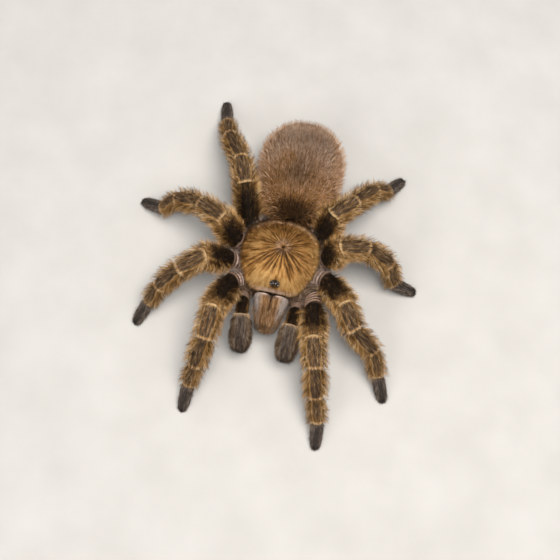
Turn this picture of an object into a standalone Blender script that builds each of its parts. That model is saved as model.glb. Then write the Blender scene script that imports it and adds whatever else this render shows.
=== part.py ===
"""Chinese golden earth tiger tarantula, a large female, life size and still, standing on its eight feet.

Lengths are in millimetres while the meshes are made, and each mesh is turned into metres as its object is made.
The spider faces -Y, its left side is +X and the floor is z = 0. The origin is on the floor under the middle of
the box round the whole animal, feet and coat included.
"""

import math
import random

import bmesh
import bpy
from mathutils import Matrix, Vector
from mathutils.bvhtree import BVHTree

METRES = 0.001
GAP = 0.3
UP = Vector((0, 0, 1))

# The midline of the body, measured from the middle of the box round the whole spread of legs.
BODY_PLACE = Vector((2.6, -0.2, 0))

# Head and thorax: the carapace is the shield on top, the coxae and the breast plate are under it.
CARAPACE_FRONT = -11.7
CARAPACE_LENGTH = 24.2
CARAPACE_WIDTH = 24.2
CARAPACE_FRONT_WIDTH = 14.0
CARAPACE_WIDEST_AT = 0.56
CARAPACE_CORNER = 0.09
CARAPACE_UNDERSIDE = 11.6
CARAPACE_RIM = 1.1
CARAPACE_DOME = 4.0
HEAD_RISE = 1.2
FOVEA_Y = 3.0
FOVEA_DEPTH = 0.9
FOVEA_WIDTH = 1.5
GROOVE_COUNT = 12
GROOVE_DEPTH = 0.3

BREAST_WIDTH = 15.0
BREAST_FRONT = CARAPACE_FRONT
BREAST_REAR = 11.4
BREAST_BOTTOM = 5.4
BREAST_TOP = CARAPACE_UNDERSIDE - GAP

# Abdomen: its front is at the waist, and it hangs a little to the spider's right.
WAIST_HEIGHT = 9.6
WAIST_RADIUS = 1.7
WAIST_DROP = 0.6
ABDOMEN_FRONT = 13.3
ABDOMEN_ASIDE = 1.2
ABDOMEN_LENGTH = 33.4
ABDOMEN_WIDTH = 27.2
ABDOMEN_HEIGHT = 22.6
ABDOMEN_MIDDLE_HEIGHT = 13.4
ABDOMEN_YAW = 3.0
ABDOMEN_BLUNT_FRONT = 3.8
ABDOMEN_BLUNT_REAR = 2.25
SPINNERET_LENGTH = 5.6
SPINNERET_RADIUS = 0.95
SPINNERET_SPREAD = 2.1
SPINNERET_AT = 0.905
SPINNERET_HEIGHT = 4.55
SPINNERET_TURN = 10
SPINNERET_PITCH = 8
SPINNERET_PROFILE = (
    (0, 0.9), (0.1, 1), (0.34, 0.88), (0.38, 0.78), (0.45, 0.84), (0.7, 0.7), (0.95, 0.42), (1, 0.2),
)

# Jaws: the basal segment of each chelicera, and the fang folded under it.
JAW_WIDTH = 5.7
JAW_ASIDE = 0.3
JAW_FRONT = -21.6
JAW_REAR = CARAPACE_FRONT - GAP
JAW_TOP = 14.9
JAW_BOTTOM = 6.4
JAW_TAPER = 0.46
FANG_LENGTH = 7.2
FANG_RADIUS = 0.8
FANG_AT = 0.84
FANG_STEPS = 7
FANG_SLOPES = (-84, -2)
FANG_INWARD = 0.12

# The eight eyes in two rows of four on their low mound: half the eyes' offsets, mirrored.
MOUND_X = 0.5
MOUND_Y = -8.9
MOUND_WIDTH = 2.9
MOUND_LENGTH = 2.2
MOUND_HEIGHT = 1.1
EYE_GAP = 0.13
EYES = {
    "anterior_median": (0.4, -0.3, 0.3),
    "anterior_lateral": (1.06, -0.52, 0.29),
    "posterior_median": (0.8, 0.36, 0.22),
    "posterior_lateral": (1.27, 0.13, 0.25),
}

# Legs. Lengths are femur, patella, tibia, metatarsus and tarsus; joint heights run from the hip to the tip.
LEG_LENGTHS = {
    1: (17.2, 9.8, 9.8, 9.2, 8.3),
    2: (14.4, 8.9, 10.0, 9.3, 8.1),
    3: (11.9, 8.9, 10.3, 8.8, 8.4),
    4: (13.1, 9.8, 12.0, 9.9, 9.0),
}
HIPS = {1: (12.8, -8.9), 2: (15.1, -2.5), 3: (14.3, 3.5), 4: (11.9, 10.5)}
JOINT_HEIGHTS = (9.5, 19.5, 17.3, 11.5, 4.7, 1.45)
# How far each joint rises with the leg's lift.
LIFT_SHARES = (0, 1, 0.9, 0.6, 0.15, 0)

# The pose of each leg: the lift of its knee, its size against its pair's length, and each segment's heading in
# degrees anticlockwise from +X, seen from above.
LEG_POSES = {
    ("left", 1): (-1.6, 0.98, (-79, -75, -75, -72, -82)),
    ("left", 2): (-1.8, 0.98, (-49, -58, -29, -62, -64)),
    ("left", 3): (0.5, 0.96, (23, 15, -12, -54, -1)),
    ("left", 4): (1.4, 0.94, (65, 49, 55, 39, 58)),
    ("right", 1): (1.7, 1.01, (-102, -94, -102, -106, -95)),
    ("right", 2): (2.0, 1.0, (-148, -143, -139, -132, -116)),
    ("right", 3): (0.5, 1.03, (149, 153, 167, 197, 163)),
    ("right", 4): (-0.2, 1.05, (109.5, 113, 123, 111, 106)),
}
# Where a coxa starts under the shield: aside, its share of the hip's place along the body, below the hip.
COXA_HEART = (3.0, 0.62, 1.9)
# Half the width at a segment's start and end, and how much taller than wide it is.
COXA = (2.7, 2.75, 1.0)
FEMUR = (3.1, 2.9, 1.12)
PATELLA = (2.9, 2.8, 1.0)
TIBIA = (2.75, 2.5, 1.0)
METATARSUS = (2.35, 2.1, 0.95)
TARSUS = (2.15, 1.75, 0.85)
NECK = 0.8
FOOT_SINK = 1.0
LEG_SIDES = 8

PALP_HIP = (8.5, -12.4)
PALP_COXA_HEART = (4.6, 6.5, 1.8)
PALP_HEIGHTS = (9.0, 15.0, 13.0, 9.0, 5.6)
PALP_LENGTHS = (10.2, 4.5, 5.2, 3.8)
PALP_HEADINGS = {"left": (-93, -90, -90, -88), "right": (-82, -80, -84, -88)}
PALP_COXA = (2.3, 1.9, 1.0)
PALP_FEMUR = (1.9, 2.0, 1.1)
PALP_PATELLA = (2.4, 2.7, 1.0)
PALP_TIBIA = (2.85, 2.9, 1.0)
PALP_TARSUS = (2.75, 2.0, 0.9)

# The long bristles of the limbs stand out as flat tapered locks. For each segment: rows of locks along it,
# their length and their width. Two rows of angles round the limb take turns, 0 being its side and 90 its back.
LOCK_SINK = 0.95
LOCK_THICKNESS = 0.62
LOCK_RISE = 50
LOCK_CURL = 20
LOCK_SHAPE = ((0.38, 1.0), (0.72, 0.72))
LOCK_CLEARANCE = 0.5
LOCK_VARIETY = 0.15
LOCK_ANGLES = ((18, -50, -130, 162), (-15, -90, -165))
FEMUR_LOCKS = (3, 4.3, 3.0)
PATELLA_LOCKS = (2, 3.9, 2.7)
TIBIA_LOCKS = (2, 4.1, 2.7)
METATARSUS_LOCKS = (2, 3.8, 2.4)
PALP_FEMUR_LOCKS = (1, 2.6, 2.0)
PALP_PATELLA_LOCKS = (1, 2.6, 2.0)
PALP_TIBIA_LOCKS = (2, 2.8, 2.2)
SEED = 7

COLOURS = {
    "golden_carapace": (0.36, 0.19, 0.05, 0.75),
    "brown_abdomen": (0.20, 0.115, 0.055, 0.85),
    "dark_femur": (0.045, 0.030, 0.018, 0.75),
    "golden_leg": (0.25, 0.165, 0.075, 0.8),
    "grey_tarsus": (0.075, 0.068, 0.062, 0.7),
    "grey_jaw": (0.17, 0.13, 0.095, 0.65),
    "pale_coxa": (0.24, 0.17, 0.12, 0.7),
    "black_fang": (0.012, 0.010, 0.009, 0.2),
    "eye_glass": (0.015, 0.013, 0.012, 0.08),
}


def clear_scene():
    for item in list(bpy.data.objects):
        bpy.data.objects.remove(item)


def material(name):
    """The Principled material of one finish, made once."""
    found = bpy.data.materials.get(name)
    if found:
        return found
    made = bpy.data.materials.new(name)
    made.use_nodes = True
    red, green, blue, roughness = COLOURS[name]
    shader = made.node_tree.nodes["Principled BSDF"]
    shader.inputs["Base Color"].default_value = (red, green, blue, 1)
    shader.inputs["Roughness"].default_value = roughness
    shader.inputs["Metallic"].default_value = 0
    made.diffuse_color = (red, green, blue, 1)
    return made


def direction(heading, pitch=0.0):
    """The unit vector of a heading and a pitch above the floor, both in degrees."""
    h, p = math.radians(heading), math.radians(pitch)
    return Vector((math.cos(h) * math.cos(p), math.sin(h) * math.cos(p), math.sin(p)))


def blend(start, end, share):
    return start + (end - start) * share


def loft(rings):
    """A closed bmesh through rings of the same number of points, its two ends filled."""
    bm = bmesh.new()
    made = [[bm.verts.new(point) for point in ring] for ring in rings]
    count = len(rings[0])
    for lower, upper in zip(made, made[1:]):
        for i in range(count):
            j = (i + 1) % count
            bm.faces.new((lower[i], lower[j], upper[j], upper[i]))
    bm.faces.new(list(reversed(made[0])))
    bm.faces.new(made[-1])
    bmesh.ops.triangulate(bm, faces=[f for f in bm.faces if len(f.verts) > 4])
    bmesh.ops.recalc_face_normals(bm, faces=bm.faces)
    return bm


class Segment:
    """One length of a limb between two joints, with the planes where it meets its neighbours."""

    def __init__(self, start, end, shape):
        self.start, self.end = start, end
        self.wide_start, self.wide_end, self.tallness = shape
        self.along = (end - start).normalized()
        self.side = self.along.cross(UP).normalized()
        self.dorsal = self.side.cross(self.along)
        self.start_plane = self.end_plane = self.along
        self.start_gap = self.end_gap = GAP / 2
        self.neck_start = self.neck_end = NECK

    def width(self, share):
        """Half the width at this share of the length: full in the middle, drawn in at the joints."""
        neck = self.neck_start if share < 0.5 else self.neck_end
        swell = neck + (1 - neck) * (1 - abs(2 * share - 1) ** 4)
        return blend(self.wide_start, self.wide_end, share) * swell

    def slide(self, offset, share):
        """How far a point moves along the segment, so that each end lies in the plane of its joint."""
        moved = 0.0
        reach = 0.42
        for plane, weight in ((self.start_plane, 1 - share / reach), (self.end_plane, 1 - (1 - share) / reach)):
            if weight > 0:
                moved -= weight * offset.dot(plane) / self.along.dot(plane)
        return moved

    def middle(self, share):
        near = self.start + self.along * (self.start_gap / self.along.dot(self.start_plane))
        far = self.end - self.along * (self.end_gap / self.along.dot(self.end_plane))
        return blend(near, far, share)

    def offset(self, share, angle):
        """From the middle of the ring to its surface; angle 0 is the side and 90 degrees the back."""
        wide = self.width(share)
        return self.side * (wide * math.cos(angle)) + self.dorsal * (wide * self.tallness * math.sin(angle))

    def surface(self, share, angle):
        offset = self.offset(share, angle)
        return self.middle(share) + offset + self.along * self.slide(offset, share)

    def ring(self, share, sides=LEG_SIDES):
        return [self.surface(share, 2 * math.pi * (i + 0.5) / sides) for i in range(sides)]


def mitre(first, second):
    """Both segments end in the plane that halves the bend between them."""
    plane = (first.along + second.along).normalized()
    first.end_plane = second.start_plane = plane


def chain(start, heights, lengths, headings):
    """The joints of a limb: each segment has its real length, its heading and the heights of its two ends."""
    joints = [Vector((start[0], start[1], heights[0]))]
    for low, high, length, heading in zip(heights, heights[1:], lengths, headings):
        rise = high - low
        flat = math.sqrt(length**2 - rise**2)
        joints.append(joints[-1] + direction(heading) * flat + UP * rise)
    return joints


SEGMENT_SHARES = (0, 0.08, 0.28, 0.72, 0.92, 1)


def rounded_tip(segment, shares, sink):
    """Rings towards a blunt tip that rests on the floor: what would reach below is pressed flat on it."""
    rings = []
    for share, size in shares:
        ring = []
        for i in range(LEG_SIDES):
            angle = 2 * math.pi * (i + 0.5) / LEG_SIDES
            offset = segment.offset(min(share, 1), angle) * size
            slide = segment.slide(offset, share) if share < 1 else 0.0
            point = segment.middle(share) + offset + segment.along * slide
            point.z = max(point.z - sink * share, 0.0)
            ring.append(point)
        rings.append(ring)
    return rings


TIP_SHARES = ((0, 1), (0.1, 1.02), (0.45, 1.06), (0.8, 1.0), (0.96, 0.75), (1.03, 0.35))
PIECES = {}


def add_object(name, bm, finish, origin, parent):
    """One named object whose own origin is a joint or the middle of the piece, hung on its parent empty."""
    mesh = bpy.data.meshes.new(name)
    bmesh.ops.translate(bm, verts=bm.verts, vec=-origin)
    bmesh.ops.scale(bm, verts=bm.verts, vec=(METRES,) * 3)
    bm.to_mesh(mesh)
    bm.free()
    mesh.materials.append(material(finish))
    mesh.shade_smooth()
    mesh.set_sharp_from_angle(angle=math.radians(50))
    made = bpy.data.objects.new(name, mesh)
    bpy.context.scene.collection.objects.link(made)
    made.parent = parent
    made.location = (origin + BODY_PLACE) * METRES - parent.location
    return made


def add_empty(name, place):
    made = bpy.data.objects.new(name, None)
    bpy.context.scene.collection.objects.link(made)
    made.location = (place + BODY_PLACE) * METRES
    return made


def lock(root, normal, lie, size, rise, curl, grow=0.0):
    """A flat, tapered lock of hair that rises from the surface and bends back along its lie.

    grow makes the thicker and longer copy that shows whether the lock keeps its distance from other nodes.
    """
    length, width = size
    across = lie.cross(normal).normalized()
    half = width / 2

    def heading(share):
        slope = math.radians(blend(rise, curl, share))
        return lie * math.cos(slope) + normal * math.sin(slope)

    def section(place, share, wide):
        ahead = heading(share)
        over = across.cross(ahead)
        thick = LOCK_THICKNESS * wide
        return [
            place + across * (half * wide + grow) - over * (thick / 2 + grow),
            place - across * (half * wide + grow) - over * (thick / 2 + grow),
            place + over * (thick / 2 + grow),
        ]

    place = root - heading(0) * (LOCK_SINK if grow == 0 else 0)
    bm = bmesh.new()
    rings = [[bm.verts.new(point) for point in section(place, 0, 0.85)]]
    place, before = root, 0.0
    for share, wide in LOCK_SHAPE:
        place = place + heading((share + before) / 2) * (length * (share - before))
        rings.append([bm.verts.new(point) for point in section(place, share, wide)])
        before = share
    tip = bm.verts.new(place + heading((1 + before) / 2) * (length * (1 - before) + grow))
    for lower, upper in zip(rings, rings[1:]):
        for i in range(3):
            j = (i + 1) % 3
            bm.faces.new((lower[i], lower[j], upper[j]))
            bm.faces.new((lower[i], upper[j], upper[i]))
    for i in range(3):
        bm.faces.new((rings[-1][i], rings[-1][(i + 1) % 3], tip))
    bm.faces.new(list(reversed(rings[0])))
    bmesh.ops.recalc_face_normals(bm, faces=bm.faces)
    return bm


def clear_of(others, place, normal, lie, size, rise, curl):
    """Whether a lock keeps its distance from the other nodes and the floor."""
    guard = lock(place, normal, lie, size, rise, curl, LOCK_CLEARANCE)
    above_floor = all(vert.co.z > 0 for vert in guard.verts)
    tree = BVHTree.FromBMesh(guard)
    guard.free()
    return above_floor and not any(tree.overlap(other) for other in others)


def grow_locks(name, seats, trees):
    """The locks of one node: each is shortened where it would come too near another node, or left out."""
    others = [tree for other, tree in trees.items() if other != name]
    grown = []
    for place, normal, lie, (length, width), rise, curl in seats:
        for shorter in (1.0, 0.85, 0.7, 0.55):
            size = (length * shorter, width)
            if clear_of(others, place, normal, lie, size, rise, curl):
                grown.append(lock(place, normal, lie, size, rise, curl))
                break
    return grown


def varied(draw, value):
    return value * draw.uniform(1 - LOCK_VARIETY, 1 + LOCK_VARIETY)


def segment_seats(segment, locks, draw):
    """Where the locks of a segment grow, in rows round it."""
    count, length, width = locks
    seats = []
    for row in range(count):
        share = blend(0.16, 0.84, (row + 0.5) / count)
        for angle in LOCK_ANGLES[row % 2]:
            turned = math.radians(angle + draw.uniform(-6, 6))
            here = share + draw.uniform(-0.04, 0.04)
            normal = segment.offset(here, turned).normalized()
            size = (varied(draw, length), varied(draw, width))
            rise, curl = varied(draw, LOCK_RISE), varied(draw, LOCK_CURL)
            seats.append((segment.surface(here, turned), normal, segment.along, size, rise, curl))
    return seats


def merged(pieces, operation, solver):
    """One closed bmesh: the first piece joined with, or cut by, all the others in one Boolean."""
    group = bpy.data.collections.new("pieces")
    bpy.context.scene.collection.children.link(group)
    objects = []
    for bm in pieces:
        mesh = bpy.data.meshes.new("piece")
        bm.to_mesh(mesh)
        bm.free()
        objects.append(bpy.data.objects.new("piece", mesh))
    bpy.context.scene.collection.objects.link(objects[0])
    for other in objects[1:]:
        group.objects.link(other)
    boolean = objects[0].modifiers.new("boolean", "BOOLEAN")
    boolean.operation = operation
    boolean.operand_type = "COLLECTION"
    boolean.collection = group
    boolean.solver = solver
    evaluated = objects[0].evaluated_get(bpy.context.evaluated_depsgraph_get())
    result = bmesh.new()
    result.from_mesh(evaluated.to_mesh())
    evaluated.to_mesh_clear()
    for made in objects:
        mesh = made.data
        bpy.data.objects.remove(made)
        bpy.data.meshes.remove(mesh)
    bpy.data.collections.remove(group)
    keep_largest(result)
    bmesh.ops.triangulate(result, faces=[face for face in result.faces if len(face.verts) > 4])
    return result


def keep_largest(bm):
    """Drops every closed surface but the one with the largest box."""
    shells = []
    seen = set()
    for vert in bm.verts:
        if vert in seen:
            continue
        shell = set()
        waiting = [vert]
        while waiting:
            here = waiting.pop()
            if here not in shell:
                shell.add(here)
                waiting.extend(edge.other_vert(here) for edge in here.link_edges)
        seen |= shell
        shells.append(shell)

    def extent(shell):
        return sum(max(v.co[i] for v in shell) - min(v.co[i] for v in shell) for i in range(3))

    keep = max(shells, key=extent)
    bmesh.ops.delete(bm, geom=[vert for vert in bm.verts if vert not in keep], context="VERTS")


def ball(middle, radius, sides=8, rings=5):
    bm = bmesh.new()
    bmesh.ops.create_uvsphere(bm, u_segments=sides, v_segments=rings, radius=radius)
    bmesh.ops.translate(bm, verts=bm.verts, vec=middle)
    return bm


def carapace_half_width(y):
    """The shield seen from above: narrow in front, widest past the middle, round behind."""
    share = (y - CARAPACE_FRONT) / CARAPACE_LENGTH
    half = CARAPACE_WIDTH / 2
    front = CARAPACE_FRONT_WIDTH / 2
    if share < CARAPACE_WIDEST_AT:
        corner = min(share / CARAPACE_CORNER, 1)
        rounded = 0.72 + 0.28 * math.sqrt(1 - (1 - corner) ** 2)
        return blend(front, half, math.sin(math.pi / 2 * share / CARAPACE_WIDEST_AT) ** 0.9) * rounded
    past = (share - CARAPACE_WIDEST_AT) / (1 - CARAPACE_WIDEST_AT)
    return half * max(1 - past**2.6, 0.0) ** 0.5


def carapace_edge(angle):
    """The rim in this direction from the fovea, found by walking out to the outline."""
    outward = Vector((math.cos(angle), math.sin(angle)))
    low, high = 0.0, CARAPACE_LENGTH
    rear = CARAPACE_FRONT + CARAPACE_LENGTH
    for _ in range(30):
        middle = (low + high) / 2
        x, y = outward.x * middle, FOVEA_Y + outward.y * middle
        inside = CARAPACE_FRONT < y < rear and abs(x) < carapace_half_width(y)
        low, high = (middle, high) if inside else (low, middle)
    return low


def carapace_height(x, y, out):
    """The top of the shield: a dome with a raised head, radial grooves and the fovea; out is 1 at the rim."""
    dome = CARAPACE_DOME * (1 - out**2.4)
    head = HEAD_RISE * math.exp(-((x / 4.6) ** 2) - ((y - MOUND_Y + 0.6) / 5.2) ** 2)
    angle = math.atan2(y - FOVEA_Y, x)
    ripple = 0.5 + 0.5 * math.cos(angle * GROOVE_COUNT)
    groove = GROOVE_DEPTH * ripple * math.sin(math.pi * min(out * 1.1, 1)) ** 2
    pit = FOVEA_DEPTH * math.exp(-((x / FOVEA_WIDTH) ** 2) - ((y - FOVEA_Y) / 0.8) ** 2)
    return CARAPACE_UNDERSIDE + CARAPACE_RIM + dome + head * (1 - out**4) - groove - pit


CARAPACE_SIDES = 40


def make_carapace(parent):
    outs = (0.06, 0.16, 0.36, 0.6, 0.82, 0.95, 1.0)
    rings = []
    for out in outs:
        ring = []
        for i in range(CARAPACE_SIDES):
            angle = 2 * math.pi * i / CARAPACE_SIDES
            reach = carapace_edge(angle) * out
            x, y = math.cos(angle) * reach, FOVEA_Y + math.sin(angle) * reach
            ring.append(Vector((x, y, carapace_height(x, y, out))))
        rings.append(ring)
    under = [Vector((p.x * 0.97, FOVEA_Y + (p.y - FOVEA_Y) * 0.97, CARAPACE_UNDERSIDE)) for p in rings[-1]]
    bm = loft([*rings, under])
    add_node("carapace", bm, "golden_carapace", Vector((0, FOVEA_Y, CARAPACE_UNDERSIDE)), parent)


COXA_SHARES = (0, 0.66, 0.74, 0.9, 1)


def make_breast(parent, hips):
    """The breast plate with the coxae and trochanters of the ten limbs, one piece under the shield."""
    rings = []
    steps = 5
    for i in range(steps + 1):
        share = i / steps
        y = blend(BREAST_FRONT, BREAST_REAR, share)
        half = BREAST_WIDTH / 2 * (0.42 + 0.58 * math.sin(math.pi * min(max(share, 0.04), 0.93)) ** 0.6)
        ring = []
        for j in range(12):
            angle = 2 * math.pi * (j + 0.5) / 12
            flat = abs(math.cos(angle)) ** 0.7 * math.copysign(1, math.cos(angle))
            tall = abs(math.sin(angle)) ** 0.7 * math.copysign(1, math.sin(angle))
            z = (BREAST_TOP + BREAST_BOTTOM) / 2 + tall * (BREAST_TOP - BREAST_BOTTOM) / 2
            ring.append(Vector((flat * half, y, z)))
        rings.append(ring)
    pieces = [loft(rings)]
    for coxa in hips:
        sections = [coxa.ring(share) for share in COXA_SHARES]
        for point in (p for section in sections[:-1] for p in section):
            point.z = min(point.z, BREAST_TOP)
        pieces.append(loft(sections))
    whole = merged(pieces, "UNION", "EXACT")
    add_node("sternum_and_coxae", whole, "pale_coxa", Vector((0, 0, BREAST_BOTTOM)), parent)


def abdomen_place(point):
    """From the abdomen's own frame, whose origin is at its front, to the body's."""
    turn = Matrix.Rotation(math.radians(ABDOMEN_YAW), 3, "Z")
    return turn @ point + Vector((ABDOMEN_ASIDE, ABDOMEN_FRONT, 0))


def abdomen_point(share, angle):
    """The abdomen's surface: an egg with broad shoulders in front, that rises from the waist."""
    across = 2 * share - 1
    blunt = ABDOMEN_BLUNT_FRONT if across < 0 else ABDOMEN_BLUNT_REAR
    size = max(1 - abs(across) ** blunt, 0.0) ** 0.5 * (1 + 0.05 * across)
    lift = blend(WAIST_HEIGHT, ABDOMEN_MIDDLE_HEIGHT, math.sin(math.pi / 2 * min(share / 0.3, 1)))
    lift = blend(lift, WAIST_HEIGHT, max(share - 0.6, 0) ** 1.5)
    x = size * ABDOMEN_WIDTH / 2 * math.cos(angle)
    z = lift + size * ABDOMEN_HEIGHT / 2 * math.sin(angle)
    return abdomen_place(Vector((x, share * ABDOMEN_LENGTH, z)))


ABDOMEN_SIDES = 20
ABDOMEN_SHARES = (0.003, 0.025, 0.08, 0.17, 0.3, 0.45, 0.6, 0.74, 0.86, 0.94, 0.985, 0.998)


def make_abdomen(parent):
    rings = []
    for share in ABDOMEN_SHARES:
        rings.append([abdomen_point(share, 2 * math.pi * i / ABDOMEN_SIDES) for i in range(ABDOMEN_SIDES)])
    add_node("abdomen", loft(rings), "brown_abdomen", Vector((0, ABDOMEN_FRONT, WAIST_HEIGHT)), parent)


def make_waist(parent):
    rings = []
    start, end = BREAST_REAR + GAP, ABDOMEN_FRONT - 0.15
    for share, size in ((0, 1), (0.5, 0.85), (1, 1)):
        middle = Vector((0, blend(start, end, share), WAIST_HEIGHT - WAIST_DROP))
        rings.append([
            middle + Vector((math.cos(a), 0, math.sin(a))) * (WAIST_RADIUS * size)
            for a in (2 * math.pi * i / 10 for i in range(10))
        ])
    add_node("waist", loft(rings), "pale_coxa", Vector((0, BREAST_REAR, WAIST_HEIGHT)), parent)


def make_spinnerets(parent):
    """The two long spinnerets under the rear end, each of three joints that grow thinner."""
    turn = Matrix.Rotation(math.radians(ABDOMEN_YAW), 3, "Z")
    for side, sign in (("left", 1), ("right", -1)):
        root = abdomen_place(Vector((sign * SPINNERET_SPREAD, SPINNERET_AT * ABDOMEN_LENGTH, SPINNERET_HEIGHT)))
        aim = turn @ direction(90 - sign * SPINNERET_TURN, SPINNERET_PITCH)
        across = aim.cross(UP).normalized()
        over = across.cross(aim)
        rings = []
        for share, size in SPINNERET_PROFILE:
            middle = root + aim * (share * SPINNERET_LENGTH)
            rings.append([
                middle + (across * math.cos(a) + over * math.sin(a)) * (SPINNERET_RADIUS * size)
                for a in (2 * math.pi * i / 8 for i in range(8))
            ])
        add_node(f"spinneret_{side}", loft(rings), "brown_abdomen", root, parent)


def jaw_ring(sign, share):
    """One cross-section of a jaw's basal segment: full and rounded, narrowing to its tip."""
    y = blend(JAW_REAR, JAW_FRONT, share)
    full = 1 - JAW_TAPER * share**2
    inner = sign * GAP / 2
    half = JAW_WIDTH / 2 * full
    if share > 0.9:
        half *= blend(1.0, 0.72, (share - 0.9) / 0.1)
    top = blend(JAW_TOP + 0.3 * math.sin(math.pi * share), JAW_TOP - 3.6, share**2.2)
    bottom = blend(JAW_BOTTOM + 1.2, JAW_BOTTOM, share**0.5)
    if share > 0.9:
        top -= 1.3 * (share - 0.9) / 0.1
        bottom += 1.3 * (share - 0.9) / 0.1
    middle = Vector((inner + sign * half + JAW_ASIDE, y, (top + bottom) / 2))
    ring = []
    for i in range(12):
        angle = 2 * math.pi * (i + 0.5) / 12
        flat = abs(math.cos(angle)) ** 0.85 * math.copysign(1, math.cos(angle))
        tall = abs(math.sin(angle)) ** 0.85 * math.copysign(1, math.sin(angle))
        ring.append(middle + Vector((flat * half, 0, tall * (top - bottom) / 2)))
    return ring


def make_jaws(parent):
    shares = (0, 0.12, 0.3, 0.5, 0.7, 0.84, 0.93, 0.98, 1.0)
    for side, sign in (("left", 1), ("right", -1)):
        add_node(
            f"chelicera_{side}",
            loft([jaw_ring(sign, share) for share in shares]),
            "grey_jaw",
            Vector((sign * JAW_WIDTH / 2, JAW_REAR, JAW_TOP)),
            parent,
        )
        hinge = jaw_ring(sign, FANG_AT)
        floor_of_jaw = min(hinge, key=lambda point: point.z)
        middle_x = sum(point.x for point in hinge) / len(hinge)
        root = Vector((middle_x, floor_of_jaw.y, floor_of_jaw.z - GAP - 0.1))
        place, rings = root.copy(), []
        for i in range(FANG_STEPS + 1):
            share = i / FANG_STEPS
            slope = math.radians(blend(*FANG_SLOPES, min(share * 1.5, 1)))
            ahead = Vector((-sign * FANG_INWARD, math.cos(slope), math.sin(slope))).normalized()
            across = ahead.cross(Vector((1, 0, 0))).normalized()
            over = across.cross(ahead)
            size = FANG_RADIUS * (1 - share**1.3) + 0.1
            rings.append([
                place + (across * math.cos(a) + over * math.sin(a)) * size
                for a in (2 * math.pi * j / 8 for j in range(8))
            ])
            place = place + ahead * (FANG_LENGTH / FANG_STEPS)
        add_node(f"fang_{side}", loft(rings), "black_fang", root, parent)


def carapace_top(x, y):
    """The height of the shield's surface at this place."""
    angle = math.atan2(y - FOVEA_Y, x)
    out = math.hypot(x, y - FOVEA_Y) / carapace_edge(angle)
    return carapace_height(x, y, out)


MOUND_SIDES = 14


def make_eyes(parent):
    """The low mound that carries the eyes, its foot along the shield, with a cup for each of the eight."""
    rings = []
    foot = carapace_top(MOUND_X, MOUND_Y) + GAP
    for rise, size in ((0, 1), (0.35, 0.97), (0.7, 0.84), (0.93, 0.58), (1.0, 0.25)):
        ring = []
        for i in range(MOUND_SIDES):
            angle = 2 * math.pi * i / MOUND_SIDES
            x = MOUND_X + MOUND_WIDTH / 2 * size * math.cos(angle)
            y = MOUND_Y + MOUND_LENGTH / 2 * size * math.sin(angle)
            z = blend(carapace_top(x, y) + GAP, foot + MOUND_HEIGHT, rise)
            ring.append(Vector((x, y, z)))
        rings.append(ring)
    cups = []
    for name, (aside, ahead, radius) in EYES.items():
        out = math.hypot(aside / (MOUND_WIDTH / 2), ahead / (MOUND_LENGTH / 2))
        height = foot + MOUND_HEIGHT * max(1 - out**2.6, 0.12) ** 0.6
        for side, sign in (("left", 1), ("right", -1)):
            middle = Vector((MOUND_X + sign * aside, MOUND_Y + ahead, height))
            cups.append(ball(middle, radius + EYE_GAP, 7, 5))
            add_node(f"eye_{name}_{side}", ball(middle, radius), "eye_glass", middle, parent)
    mound = merged([loft(rings), *cups], "DIFFERENCE", "MANIFOLD")
    add_node("eye_mound", mound, "golden_carapace", Vector((MOUND_X, MOUND_Y, foot)), parent)


def make_legs():
    """Eight legs, each of femur, patella with tibia, metatarsus and tarsus. Returns their coxae."""
    coxae = []
    for (side, number), (lift, size, headings) in LEG_POSES.items():
        sign = 1 if side == "left" else -1
        hip_x, hip_y = HIPS[number]
        heights = [height + lift * share for height, share in zip(JOINT_HEIGHTS, LIFT_SHARES)]
        lengths = [length * size for length in LEG_LENGTHS[number]]
        joints = chain((sign * hip_x, hip_y), heights, lengths, headings)
        shapes = (FEMUR, PATELLA, TIBIA, METATARSUS, TARSUS)
        femur, patella, tibia, metatarsus, tarsus = (
            Segment(a, b, shape) for a, b, shape in zip(joints, joints[1:], shapes)
        )
        heart_x, heart_share, heart_drop = COXA_HEART
        heart = Vector((sign * heart_x, hip_y * heart_share, JOINT_HEIGHTS[0] - heart_drop))
        coxa = Segment(heart, joints[0], COXA)
        limb = (coxa, femur, patella, tibia, metatarsus, tarsus)
        for first, second in zip(limb, limb[1:]):
            mitre(first, second)
        coxa.start_plane = coxa.along
        patella.end_gap = tibia.start_gap = 0.0
        patella.neck_end = tibia.neck_start = 0.88
        coxae.append(coxa)
        name = f"leg_{side}_{number}"
        hip = add_empty(name, joints[0])
        shares = SEGMENT_SHARES
        thigh = loft([femur.ring(s) for s in shares])
        add_node(f"{name}_femur", thigh, "dark_femur", joints[0], hip, [(femur, FEMUR_LOCKS)])
        knee = loft([patella.ring(s) for s in shares] + [tibia.ring(s) for s in shares[1:]])
        bristly = [(patella, PATELLA_LOCKS), (tibia, TIBIA_LOCKS)]
        add_node(f"{name}_patella_tibia", knee, "golden_leg", joints[1], hip, bristly)
        shin = loft([metatarsus.ring(s) for s in shares])
        add_node(f"{name}_metatarsus", shin, "golden_leg", joints[3], hip, [(metatarsus, METATARSUS_LOCKS)])
        foot = loft(rounded_tip(tarsus, TIP_SHARES, FOOT_SINK))
        add_node(f"{name}_tarsus", foot, "grey_tarsus", joints[4], hip)
    return coxae


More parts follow.
